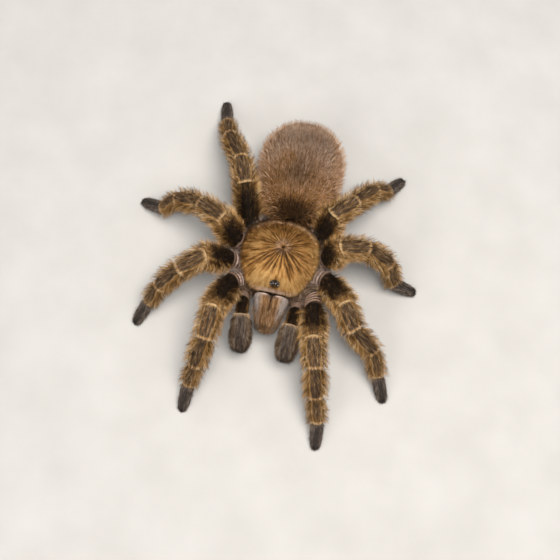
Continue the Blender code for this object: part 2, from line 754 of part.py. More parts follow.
def make_palps():
    """Two palps, each of femur, patella with tibia, and tarsus. Returns their coxae."""
    coxae = []
    for side, sign in (("left", 1), ("right", -1)):
        start = (sign * PALP_HIP[0], PALP_HIP[1])
        joints = chain(start, PALP_HEIGHTS, PALP_LENGTHS, PALP_HEADINGS[side])
        shapes = (PALP_FEMUR, PALP_PATELLA, PALP_TIBIA, PALP_TARSUS)
        femur, patella, tibia, tarsus = (Segment(a, b, s) for a, b, s in zip(joints, joints[1:], shapes))
        heart_x, heart_behind, heart_drop = PALP_COXA_HEART
        heart = Vector((sign * heart_x, PALP_HIP[1] + heart_behind, PALP_HEIGHTS[0] - heart_drop))
        coxa = Segment(heart, joints[0], PALP_COXA)
        limb = (coxa, femur, patella, tibia, tarsus)
        for first, second in zip(limb, limb[1:]):
            mitre(first, second)
        coxa.start_plane = coxa.along
        patella.end_gap = tibia.start_gap = 0.0
        patella.neck_end = tibia.neck_start = 0.92
        coxae.append(coxa)
        name = f"palp_{side}"
        hip = add_empty(name, joints[0])
        shares = SEGMENT_SHARES
        thigh = loft([femur.ring(s) for s in shares])
        add_node(f"{name}_femur", thigh, "dark_femur", joints[0], hip, [(femur, PALP_FEMUR_LOCKS)])
        knee = loft([patella.ring(s) for s in shares] + [tibia.ring(s) for s in shares[1:]])
        bristly = [(patella, PALP_PATELLA_LOCKS), (tibia, PALP_TIBIA_LOCKS)]
        add_node(f"{name}_patella_tibia", knee, "grey_jaw", joints[1], hip, bristly)
        foot = loft(rounded_tip(tarsus, TIP_SHARES, 0.0))
        add_node(f"{name}_tarsus", foot, "grey_tarsus", joints[3], hip)
    return coxae


def add_node(name, bm, finish, origin, parent, segments=()):
    PIECES[name] = (bm, finish, origin, parent, segments)


def grow_coat():
    """Grows the locks node by node, each clear of the nodes that already have theirs."""
    draw = random.Random(SEED)
    trees = {name: BVHTree.FromBMesh(piece[0]) for name, piece in PIECES.items()}
    for name, (bm, finish, origin, parent, segments) in PIECES.items():
        seats = []
        for segment, locks in segments:
            seats += segment_seats(segment, locks, draw)
        locks = grow_locks(name, seats, trees)
        if locks:
            whole = merged([bm, *locks], "UNION", "EXACT")
            trees[name] = BVHTree.FromBMesh(whole)
            PIECES[name] = (whole, finish, origin, parent, segments)


def build():
    clear_scene()
    body = add_empty("spider", Vector((0, 0, 0)))
    coxae = make_legs() + make_palps()
    make_breast(body, coxae)
    make_carapace(body)
    make_waist(body)
    make_abdomen(body)
    make_spinnerets(body)
    make_jaws(body)
    make_eyes(body)
    grow_coat()
    for name, (bm, finish, origin, parent, _) in PIECES.items():
        add_object(name, bm, finish, origin, parent)


build()
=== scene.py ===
"""Chinese golden earth tiger tarantula, life size and still: its skins, coat, eyes, fangs and claws.

Shapes are worked out in millimetres, in the body's own frame: the spider faces -Y, its left side is +X and
the floor is z = 0. Each piece is turned into metres and set in the row frame as its mesh is made.
"""

import math

import bmesh
import bpy
import numpy as np
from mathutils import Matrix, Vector


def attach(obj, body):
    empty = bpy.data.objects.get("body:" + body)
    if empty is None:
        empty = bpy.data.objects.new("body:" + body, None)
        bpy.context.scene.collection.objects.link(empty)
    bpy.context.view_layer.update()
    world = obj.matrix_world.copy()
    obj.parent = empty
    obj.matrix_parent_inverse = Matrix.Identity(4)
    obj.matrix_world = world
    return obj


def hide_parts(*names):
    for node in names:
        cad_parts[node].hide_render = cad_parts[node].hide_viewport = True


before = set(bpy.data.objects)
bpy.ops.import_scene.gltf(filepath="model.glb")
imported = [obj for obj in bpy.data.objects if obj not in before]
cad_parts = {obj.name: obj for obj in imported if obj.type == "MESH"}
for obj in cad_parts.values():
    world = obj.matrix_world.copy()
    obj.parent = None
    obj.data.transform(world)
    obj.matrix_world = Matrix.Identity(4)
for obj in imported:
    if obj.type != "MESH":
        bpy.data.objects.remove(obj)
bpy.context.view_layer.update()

# Carapace
# The hard shield over head and thorax: one dome of brown cuticle with a pit in its middle, the fovea, and
# shallow grooves that run out from it. A short golden pile grows outwards all over it, to a pale fringe.
METRE = 0.001
BODY_PLACE = np.array((2.6, -0.2, 0.0))
CARAPACE_FRONT = -11.7
CARAPACE_LENGTH = 24.2
CARAPACE_WIDTH = 24.2
CARAPACE_FRONT_WIDTH = 14.0
CARAPACE_WIDEST_AT = 0.56
CARAPACE_CORNER = 0.09
CARAPACE_UNDERSIDE = 11.6
CARAPACE_RIM = 1.1
CARAPACE_DOME = 4.0
CARAPACE_PILE = 0.25
CARAPACE_FRINGE = 0.5
HEAD_RISE = 1.2
FOVEA_X = 0.6
FOVEA_Y = 3.0
FOVEA_DEPTH = 0.9
FOVEA_WIDTH = 1.0
GROOVE_COUNT = 12
GROOVE_DEPTH = 0.25
RAY_COUNT = 33
RAY_WIDTH = 0.2
BLOTCH_COUNT = 60
RAY_DEPTH = 0.25
MOUND_X = 0.5
MOUND_Y = -8.9


def blend(start, end, share):
    return start + (end - start) * share


def step(value, low, high):
    """0 below low, 1 above high, and a smooth rise between them."""
    share = np.clip((value - low) / (high - low), 0, 1)
    return share * share * (3 - 2 * share)


def bell(value, middle, width):
    return np.exp(-(((value - middle) / width) ** 2))


def ring_angles(sides, start=-math.pi / 2):
    """The angles of the points round a section, the first at its underside unless start says otherwise."""
    return 2 * math.pi * np.arange(sides) / sides + start


def carapace_half_width(y):
    """The shield seen from above: narrow in front, widest past the middle, round behind."""
    share = (y - CARAPACE_FRONT) / CARAPACE_LENGTH
    half = CARAPACE_WIDTH / 2
    if share < CARAPACE_WIDEST_AT:
        corner = min(share / CARAPACE_CORNER, 1)
        rounded = 0.72 + 0.28 * math.sqrt(1 - (1 - corner) ** 2)
        swell = math.sin(math.pi / 2 * share / CARAPACE_WIDEST_AT) ** 0.9
        return blend(CARAPACE_FRONT_WIDTH / 2, half, swell) * rounded
    past = (share - CARAPACE_WIDEST_AT) / (1 - CARAPACE_WIDEST_AT)
    return half * max(1 - past**2.6, 0.0) ** 0.5


def carapace_edge(angle):
    """The rim in this direction from the fovea, found by halving the way out to the outline."""
    low, high = 0.0, CARAPACE_LENGTH
    for _ in range(30):
        middle = (low + high) / 2
        x, y = FOVEA_X + math.cos(angle) * middle, FOVEA_Y + math.sin(angle) * middle
        inside = CARAPACE_FRONT < y < CARAPACE_FRONT + CARAPACE_LENGTH and abs(x) < carapace_half_width(y)
        low, high = (middle, high) if inside else (low, middle)
    return low


def carapace_height(x, y, out):
    """The top of the shield: a dome with a raised head, grooves and the fovea; out is 1 at the rim."""
    dome = CARAPACE_DOME * (1 - out**2.4)
    head = HEAD_RISE * np.exp(-((x / 4.6) ** 2) - ((y - MOUND_Y + 0.6) / 5.2) ** 2)
    angle = np.arctan2(y - FOVEA_Y, x - FOVEA_X)
    ripple = 0.5 + 0.5 * np.cos(angle * GROOVE_COUNT)
    groove = GROOVE_DEPTH * ripple * np.sin(math.pi * np.minimum(out * 1.1, 1)) ** 2
    pit = FOVEA_DEPTH * np.exp(-(((x - FOVEA_X) / FOVEA_WIDTH) ** 2) - ((y - FOVEA_Y) / 0.6) ** 2)
    return CARAPACE_UNDERSIDE + CARAPACE_RIM + dome + head * (1 - out**4) - groove - pit


def link(name, data):
    """A new object with this data, in the scene."""
    made = bpy.data.objects.new(name, data)
    bpy.context.scene.collection.objects.link(made)
    return made


def store(mesh, name, kind, values):
    """Keeps a number or a vector for each point of a mesh under this name."""
    layer = mesh.attributes.new(name, kind, "POINT")
    plain = np.array(values, dtype=np.float32).ravel()
    layer.data.foreach_set("value" if kind == "FLOAT" else "vector", plain)


def with_ends(values):
    """The values of all rings in one row, then the means of the first and last rings, for the end points."""
    row = values.reshape(-1, *values.shape[2:])
    return np.concatenate([row, [values[0].mean(0), values[-1].mean(0)]])


def set_flow(mesh, rings, radius):
    """Coordinates in millimetres that run round and along a skin, without a seam, for its streaks."""
    angles = ring_angles(rings.shape[1], 0.0)
    lengths = np.linalg.norm(np.diff(rings, axis=0), axis=2).mean(1)
    along = np.concatenate([[0.0], np.cumsum(lengths)])
    flow = np.zeros(rings.shape)
    flow[..., 0] = radius * np.cos(angles)
    flow[..., 1] = radius * np.sin(angles)
    flow[..., 2] = along[:, None]
    store(mesh, "flow", "FLOAT_VECTOR", with_ends(flow))


def closed_skin(name, rings, marks, around=None, chart=None):
    """A closed skin through rings of points in millimetres, with an end point at each end.

    marks holds a number for each point under each name. The coat and the finishes read them as attributes.
    The hair lies along the way from the first ring to the last. around is the radius of the skin's flow,
    which a bare claw goes without. chart places each point on a flat map.
    """
    count, sides, _ = rings.shape
    first, last = count * sides, count * sides + 1
    faces, spots = [], []

    def spot(i, j):
        if chart is not None:
            return tuple(chart[i, j % sides])
        return (j / sides, blend(0.01, 0.99, i / (count - 1)))

    for j in range(sides):
        k = (j + 1) % sides
        for i in range(count - 1):
            faces.append((i * sides + j, i * sides + k, (i + 1) * sides + k, (i + 1) * sides + j))
            spots += [spot(i, j), spot(i, j + 1), spot(i + 1, j + 1), spot(i + 1, j)]
        faces.append((first, k, j))
        spots += [spot(0, j), spot(0, j + 1), spot(0, j)]
        end = (count - 1) * sides
        faces.append((last, end + j, end + k))
        spots += [spot(count - 1, j), spot(count - 1, j), spot(count - 1, j + 1)]
    mesh = bpy.data.meshes.new(name)
    mesh.from_pydata(((with_ends(rings) + BODY_PLACE) * METRE).tolist(), [], faces)
    unwrap = mesh.uv_layers.new(name="OFBake")
    unwrap.uv.foreach_set("vector", np.array(spots, dtype=np.float32).ravel())
    bm = bmesh.new()
    bm.from_mesh(mesh)
    bmesh.ops.recalc_face_normals(bm, faces=bm.faces)
    bm.to_mesh(mesh)
    bm.free()
    lie = np.gradient(rings, axis=0)
    lie /= np.linalg.norm(lie, axis=2, keepdims=True) + 1e-9
    store(mesh, "lie", "FLOAT_VECTOR", with_ends(lie))
    for mark, values in marks.items():
        store(mesh, mark, "FLOAT", with_ends(np.broadcast_to(values, rings.shape[:2])))
    mesh.shade_smooth()
    if around is not None:
        set_flow(mesh, rings, around)
    return link(name, mesh)


def add_node(tree, kind, inputs=(), **settings):
    """A node with its settings, each named input set to a value or linked to another node's output."""
    made = tree.nodes.new(kind)
    for name, value in settings.items():
        setattr(made, name, value)
    for key, value in dict(inputs).items():
        if isinstance(value, bpy.types.NodeSocket):
            tree.links.new(value, made.inputs[key])
        else:
            made.inputs[key].default_value = value
    return made


def maths(tree, operation, first, second):
    return add_node(tree, "ShaderNodeMath", {0: first, 1: second}, operation=operation).outputs[0]


def around_zero(tree, value, reach):
    return maths(tree, "MULTIPLY", maths(tree, "SUBTRACT", value, 0.5), reach)


def map_range(tree, value, low, high, start=0.0, end=1.0):
    """Goes evenly from low, where the value is at start, to high, where it is at end."""
    return add_node(tree, "ShaderNodeMapRange", {0: value, 1: start, 2: end, 3: low, 4: high}).outputs[0]


def noise(tree, place, scale, detail):
    return add_node(tree, "ShaderNodeTexNoise", {"Vector": place, "Scale": scale, "Detail": detail}).outputs


def stored(tree, name, data_type="FLOAT"):
    """What each point of the skin, or of a hair, keeps under this name."""
    node = add_node(tree, "GeometryNodeInputNamedAttribute", {"Name": name}, data_type=data_type)
    return node.outputs["Attribute"]


def keep(tree, geometry, name, value, data_type="FLOAT", domain="POINT"):
    """The geometry, with this value kept under this name."""
    inputs = {"Geometry": geometry, "Name": name, "Value": value}
    node = add_node(tree, "GeometryNodeStoreNamedAttribute", inputs, data_type=data_type, domain=domain)
    return node.outputs["Geometry"]


TUFTS_PER_METRE = 800
STREAKS_PER_MILLIMETRE = (2.1, 2.1, 0.45)
COAT_INPUTS = {
    "Skin": "NodeSocketGeometry",
    "Down Hair": "NodeSocketObject",
    "Bristle Hair": "NodeSocketObject",
    "Down Density": "NodeSocketFloat",
    "Bristle Density": "NodeSocketFloat",
    "Down Width": "NodeSocketFloat",
    "Bristle Width": "NodeSocketFloat",
    "Tuft Patch": "NodeSocketFloat",
    "Lean": "NodeSocketFloat",
    "Streak": "NodeSocketFloat",
    "Seed": "NodeSocketInt",
    "Finish": "NodeSocketMaterial",
}


def coat_layer(tree, given, kind, seed_step, prefix):
    """One layer of the coat: hairs spread by the skin's marks, each turned along the lie and raised."""

    def times(first, second):
        return maths(tree, "MULTIPLY", first, second)

    def asked(name):
        return given.outputs[f"{kind.title()} {name}"]

    def chance(low, high, step_on):
        seed = maths(tree, "ADD", given.outputs["Seed"], seed_step + step_on)
        inputs = {2: low, 3: high, "Seed": seed}
        return add_node(tree, "FunctionNodeRandomValue", inputs, data_type="FLOAT").outputs[1]

    inputs = {
        "Mesh": given.outputs["Skin"],
        "Density": times(stored(tree, f"{kind}_thick"), asked("Density")),
        "Seed": maths(tree, "ADD", given.outputs["Seed"], seed_step),
    }
    spread = add_node(tree, "GeometryNodeDistributePointsOnFaces", inputs, distribute_method="RANDOM")
    inputs = {0: stored(tree, "flow", "FLOAT_VECTOR"), 1: STREAKS_PER_MILLIMETRE}
    flow = add_node(tree, "ShaderNodeVectorMath", inputs, operation="MULTIPLY").outputs[0]
    streak = around_zero(tree, noise(tree, flow, 1.0, 3.0)["Fac"], given.outputs["Streak"])
    kept = {
        "vary": chance(0.0, 1.0, 1),
        "mark": maths(tree, "ADD", stored(tree, f"{prefix}mark"), streak),
        "slate": stored(tree, f"{prefix}slate"),
    }
    points = spread.outputs["Points"]
    for name, value in kept.items():
        points = keep(tree, points, name, value)
    place = tree.nodes.new("GeometryNodeInputPosition").outputs[0]
    lean = noise(tree, place, TUFTS_PER_METRE, 1.0)["Color"]
    tuft = add_node(tree, "ShaderNodeSeparateXYZ", {0: lean}).outputs
    raised_by = map_range(tree, tuft[0], 0.7, 1.3, 0.3, 0.7)
    leans_by = map_range(tree, tuft[1], -1.0, 1.0, 0.3, 0.7)
    rise = times(times(stored(tree, f"{kind}_rise"), chance(0.8, 1.2, 2)), raised_by)
    yaw = times(maths(tree, "ADD", chance(-0.4, 0.4, 3), leans_by), given.outputs["Lean"])
    turn = add_node(tree, "ShaderNodeCombineXYZ", {"X": rise, "Z": yaw}).outputs[0]
    facing = add_node(
        tree,
        "FunctionNodeAxesToRotation",
        {"Primary Axis": spread.outputs["Normal"], "Secondary Axis": stored(tree, "lie", "FLOAT_VECTOR")},
        primary_axis="Z",
        secondary_axis="Y",
    )
    by = add_node(tree, "FunctionNodeEulerToRotation", {"Euler": turn}).outputs[0]
    inputs = {"Rotation": facing.outputs["Rotation"], "Rotate By": by}
    raised = add_node(tree, "FunctionNodeRotateRotation", inputs, rotation_space="LOCAL")
    length = times(stored(tree, kind), chance(0.72, 1.22, 4))
    width = times(asked("Width"), chance(0.75, 1.25, 5))
    inputs = {
        "Points": points,
        "Instance": add_node(tree, "GeometryNodeObjectInfo", {"Object": asked("Hair")}).outputs["Geometry"],
        "Rotation": raised.outputs["Rotation"],
        "Scale": add_node(tree, "ShaderNodeCombineXYZ", {"X": width, "Y": length, "Z": length}).outputs[0],
    }
    return add_node(tree, "GeometryNodeInstanceOnPoints", inputs).outputs["Instances"]


def make_coat_tree():
    """The coat of one skin: down and bristles, made real, each a small patch on the skin's own map."""
    tree = bpy.data.node_groups.new("coat of hair", "GeometryNodeTree")
    for name, kind in COAT_INPUTS.items():
        tree.interface.new_socket(name, in_out="INPUT", socket_type=kind)
    tree.interface.new_socket("Coat", in_out="OUTPUT", socket_type="NodeSocketGeometry")
    given = tree.nodes.new("NodeGroupInput")
    both = tree.nodes.new("GeometryNodeJoinGeometry")
    for kind, seed_step, prefix in (("down", 0, ""), ("bristle", 20, "bristle_")):
        tree.links.new(coat_layer(tree, given, kind, seed_step, prefix), both.inputs[0])
    real = add_node(tree, "GeometryNodeRealizeInstances", {"Geometry": both.outputs[0]}).outputs[0]

    def vector(operation, first, second, socket=1):
        inputs = {0: first, socket: second}
        return add_node(tree, "ShaderNodeVectorMath", inputs, operation=operation).outputs[0]

    spot = vector("SUBTRACT", stored(tree, "spot", "FLOAT_VECTOR"), (0.5, 0.5, 0))
    patch = vector("SCALE", spot, given.outputs["Tuft Patch"], "Scale")
    place = vector("ADD", stored(tree, "OFBake", "FLOAT_VECTOR"), patch)
    mapped = keep(tree, real, "OFBake", place, "FLOAT2", "CORNER")
    inputs = {"Geometry": mapped, "Material": given.outputs["Finish"]}
    dressed = add_node(tree, "GeometryNodeSetMaterial", inputs)
    leave = tree.nodes.new("NodeGroupOutput")
    tree.links.new(dressed.outputs[0], leave.inputs[0])
    return tree


ROOT_DEPTH = 0.06


def hair_shape(name, shares, arch, thickness):
    """One hair to be repeated: a three-sided spike of unit length along +Y that arches, its root sunk in."""
    places, place, before = [], Vector((0, 0, 0)), 0.0
    for share in (*shares, 1.0):
        slope = math.radians(blend(arch, -arch, (share + before) / 2))
        place = place + Vector((0, math.cos(slope), math.sin(slope))) * (share - before)
        places.append(place)
        before = share
    start = math.radians(arch)
    ring_places = [Vector((0, math.cos(start), math.sin(start))) * -ROOT_DEPTH, *places[:-1]]
    sizes = [0.8, *[(1 - share) ** 0.6 for share in shares]]
    points, faces, along = [], [], []
    for place, size, share in zip(ring_places, sizes, (0.0, *shares)):
        points += [
            place + Vector((size / 2, 0, -thickness * size / 3)),
            place + Vector((0, 0, thickness * size * 2 / 3)),
            place + Vector((-size / 2, 0, -thickness * size / 3)),
        ]
        along += [share] * 3
    for i in range(0, len(points) - 3, 3):
        for j in range(3):
            k = (j + 1) % 3
            faces.append((i + j, i + k, i + 3 + k, i + 3 + j))
    tip = len(points)
    points.append(places[-1])
    along.append(1.0)
    faces += [(tip - 3 + j, tip - 3 + (j + 1) % 3, tip) for j in range(3)]
    faces.append((2, 1, 0))
    mesh = bpy.data.meshes.new(name)
    mesh.from_pydata(points, [], faces)
    spots = [(0.5 + point.x, share) for point, share in zip(points, along)]
    store(mesh, "along", "FLOAT", along)
    store(mesh, "spot", "FLOAT2", spots)
    mesh.shade_smooth()
    return link(name, mesh)


TUFT_PATCH = 0.003
FLOOR_CLEAR = 0.03
COAT_TREE = make_coat_tree()
DOWN_HAIR = hair_shape("down_hair", (), 0, 0.06)
BRISTLE = hair_shape("bristle", (0.5,), 15, 0.035)
COAT_KEEPS = {"mark", "slate", "flesh", "vary", "along", "OFBake", "position", "sharp_face", "material_index"}


def skin_cover(skin, kind):
    """The area of a skin in square metres, each face counted by how thick this kind of hair grows on it."""
    layer = skin.data.attributes.get(f"{kind}_thick")
    if layer is None:
        return 1.0
    thick = np.zeros(len(skin.data.vertices), np.float32)
    layer.data.foreach_get("value", thick)
    return sum(face.area * float(np.mean(thick[list(face.vertices)])) for face in skin.data.polygons)


def grow_coat(name, skin, finish, slot, down, bristles=(0, 0.0), seed=1, lean=0.2, streak=1.3):
    """Grows this many hairs of down and bristles, of these widths in millimetres, as one plain mesh."""
    grown = link(name, skin.data)
    modifier = grown.modifiers.new("coat", "NODES")
    modifier.node_group = COAT_TREE
    values = {"Tuft Patch": TUFT_PATCH, "Lean": lean, "Streak": streak, "Seed": seed, "Finish": finish}
    for kind, shape, (number, width) in (("down", DOWN_HAIR, down), ("bristle", BRISTLE, bristles)):
        values[f"{kind.title()} Hair"] = shape
        values[f"{kind.title()} Density"] = number / max(skin_cover(skin, kind), 1e-12)
        values[f"{kind.title()} Width"] = width * METRE
    for item in COAT_TREE.interface.items_tree:
        if item.in_out == "INPUT" and item.name in values:
            modifier[item.identifier] = values[item.name]
    depsgraph = bpy.context.evaluated_depsgraph_get()
    coat = bpy.data.meshes.new_from_object(grown.evaluated_get(depsgraph))
    grown.modifiers.remove(modifier)
    grown.data = coat
    for attribute in [a.name for a in coat.attributes if not a.is_internal and a.name not in COAT_KEEPS]:
        coat.attributes.remove(coat.attributes[attribute])
    places = np.zeros(len(coat.vertices) * 3, np.float32)
    coat.vertices.foreach_get("co", places)
    places[2::3] = np.maximum(places[2::3], FLOOR_CLEAR * METRE)
    coat.vertices.foreach_set("co", places)
    coat.name = name
    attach(grown, "root")


def colour_ramp(tree, factor, stops):
    """A ramp of colours, given as (place, red, green, blue)."""
    ramp = add_node(tree, "ShaderNodeValToRGB", {"Fac": factor})
    elements = ramp.color_ramp.elements
    while len(elements) < len(stops):
        elements.new(0.5)
    for element, (place, *colour) in zip(elements, stops):
        element.position = place
        element.color = (*colour, 1)
    return ramp.outputs["Color"]


def mix_colours(tree, factor, first, second, blend_type="MIX"):
    colours = {0: factor, 6: first, 7: second}
    return add_node(tree, "ShaderNodeMix", colours, data_type="RGBA", blend_type=blend_type).outputs[2]


SLATE = (
    (0.0, 0.012, 0.009, 0.008),
    (0.45, 0.085, 0.064, 0.053),
    (0.8, 0.27, 0.215, 0.18),
    (1.0, 0.5, 0.43, 0.38),
)
HAIR_GLOSS = 0.08
HAIR_ROUGHNESS = (0.42, 0.62)
HAIR_BLOTCHES = 420
SKIN_BLOTCHES = 600
STREAK_DEPTH = 0.00012
STREAK_SCALE = (5.0, 5.0, 0.9)
BARE_GLOSS = 0.35
FLESH = ((0.0, 0.04, 0.024, 0.018), (0.5, 0.26, 0.165, 0.125), (1.0, 0.74, 0.55, 0.46))


def named(tree, attribute):
    return add_node(tree, "ShaderNodeAttribute", attribute_name=attribute).outputs["Fac"]


def body_noise(tree, scale, detail=2.0):
    """Blotches of this many to the metre, that stay where they are on the body."""
    return noise(tree, tree.nodes.new("ShaderNodeTexCoord").outputs["Object"], scale, detail)["Fac"]


def tinted(tree, tone, stops):
    """The body's own colours at this tone, greyer by the skin's slate mark and paler by its flesh mark."""
    warm = colour_ramp(tree, tone, stops)
    slated = mix_colours(tree, named(tree, "slate"), warm, colour_ramp(tree, tone, SLATE))
    return mix_colours(tree, named(tree, "flesh"), slated, colour_ramp(tree, tone, FLESH))


def new_finish(name, settings):
    """A new material with these constants on its shader, and its node tree and shader."""
    made = bpy.data.materials.new(name)
    made.use_nodes = True
    shader = made.node_tree.nodes["Principled BSDF"]
    for key, value in settings.items():
        shader.inputs[key].default_value = value
    return made, made.node_tree, shader


def hair_finish(name, stops, spread=0.3, root=0.5, tip=1.15):
    """Hair: dark at the root as painted shade deep in the coat, paler to the tip, each a little lighter or
    darker than the next.
    """
    made, tree, shader = new_finish(name, {"Specular IOR Level": HAIR_GLOSS})
    tone = maths(tree, "ADD", named(tree, "mark"), around_zero(tree, named(tree, "vary"), spread))
    tone = maths(tree, "ADD", tone, around_zero(tree, body_noise(tree, HAIR_BLOTCHES), 0.22))
    # Painted shade: each hair is darkened towards its root, as deep in the coat, and lightened to its tip.
    shade = map_range(tree, named(tree, "along"), root, tip)
    colour = mix_colours(tree, 1.0, tinted(tree, tone, stops), shade, "MULTIPLY")
    tree.links.new(colour, shader.inputs["Base Color"])
    rough = map_range(tree, named(tree, "vary"), *HAIR_ROUGHNESS)
    tree.links.new(rough, shader.inputs["Roughness"])
    return made


def skin_finish(name, stops, depth=0.6, rough=0.6, shine=0.2):
    """Cuticle under the hair: streaks of fine flat down along the lie, and glossier where it is bare."""
    made, tree, shader = new_finish(name, {"Specular IOR Level": shine})
    flow = add_node(tree, "ShaderNodeAttribute", attribute_name="flow").outputs["Vector"]
    stretched = add_node(tree, "ShaderNodeMapping", {"Vector": flow, "Scale": STREAK_SCALE}).outputs[0]
    streaks = noise(tree, stretched, 1.3, 4.0)["Fac"]
    tone = maths(tree, "ADD", named(tree, "mark"), around_zero(tree, streaks, 0.5))
    tone = maths(tree, "ADD", tone, around_zero(tree, body_noise(tree, SKIN_BLOTCHES), 0.2))
    colour = mix_colours(tree, 1.0, tinted(tree, tone, stops), (depth, depth, depth, 1), "MULTIPLY")
    tree.links.new(colour, shader.inputs["Base Color"])
    bump = add_node(tree, "ShaderNodeBump", {"Strength": 0.6, "Distance": STREAK_DEPTH, "Height": streaks})
    tree.links.new(bump.outputs[0], shader.inputs["Normal"])
    rough = map_range(tree, named(tree, "flesh"), rough, rough - BARE_GLOSS)
    tree.links.new(rough, shader.inputs["Roughness"])
    return made


def dress(piece, finish, slot, *nodes):
    """Gives a finished piece its material, its place on the body and any solids that it stands for."""
    piece.data.materials.append(finish)
    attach(piece, "root")
    if nodes:
        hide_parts(*nodes)


GOLDEN = (
    (0.0, 0.018, 0.007, 0.002),
    (0.3, 0.10, 0.042, 0.011),
    (0.55, 0.40, 0.187, 0.056),
    (0.75, 0.70, 0.345, 0.092),
    (0.9, 0.88, 0.475, 0.14),
    (1.0, 1.0, 0.68, 0.29),
)
CARAPACE_SIDES = 300
CARAPACE_HAIRS = 42000
CARAPACE_HAIR_WIDTH = 0.1
CARAPACE_FLOW = 7.0


def carapace_rays(angles, reach):
    """How deep each place lies in one of the dark rays out from the fovea, and how high on a crest."""
    draw = np.random.default_rng(11)
    dark, crest = np.zeros_like(reach), np.ones_like(reach)
    for i in range(RAY_COUNT):
        middle = 2 * math.pi * (i + draw.uniform(-0.27, 0.27)) / RAY_COUNT
        ahead = 0.5 - 0.5 * math.sin(middle)
        starts, ends = draw.uniform(0.7, 2.2), draw.uniform(5.2, 9.0) + 6.6 * ahead
        strength = draw.uniform(0.4, 0.8) + 0.3 * ahead
        bend = draw.uniform(-0.07, 0.07) * step(reach, 2.0, 9.0)
        away = np.abs((angles[None, :] - middle - bend + math.pi) % (2 * math.pi) - math.pi) * reach
        long = step(reach, starts - 0.5, starts) * (1 - step(reach, 0.3 * ends, ends))
        wide = RAY_WIDTH * blend(0.7, 1.9, step(reach, 1.0, 9.0))
        dark = np.maximum(dark, bell(away, 0, wide) * long * strength)
        crest = np.minimum(crest, 1 - bell(away, 0, 2 * wide) * long)
    return dark, crest * step(reach, 1.5, 3.0) * (1 - step(reach, 8.5, 12.0))


def carapace_blotches(x, y):
    """Soft lighter and darker spots all over the shield, where the pile has worn or gathered."""
    draw = np.random.default_rng(12)
    tone = np.zeros_like(x)
    for _ in range(BLOTCH_COUNT):
        across, along = draw.uniform(-12, 12), draw.uniform(CARAPACE_FRONT, CARAPACE_FRONT + CARAPACE_LENGTH)
        wide, strength = draw.uniform(0.6, 1.7), draw.uniform(-0.2, 0.14)
        tone += strength * np.exp(-((x - across) ** 2 + (y - along) ** 2) / wide**2)
    return tone


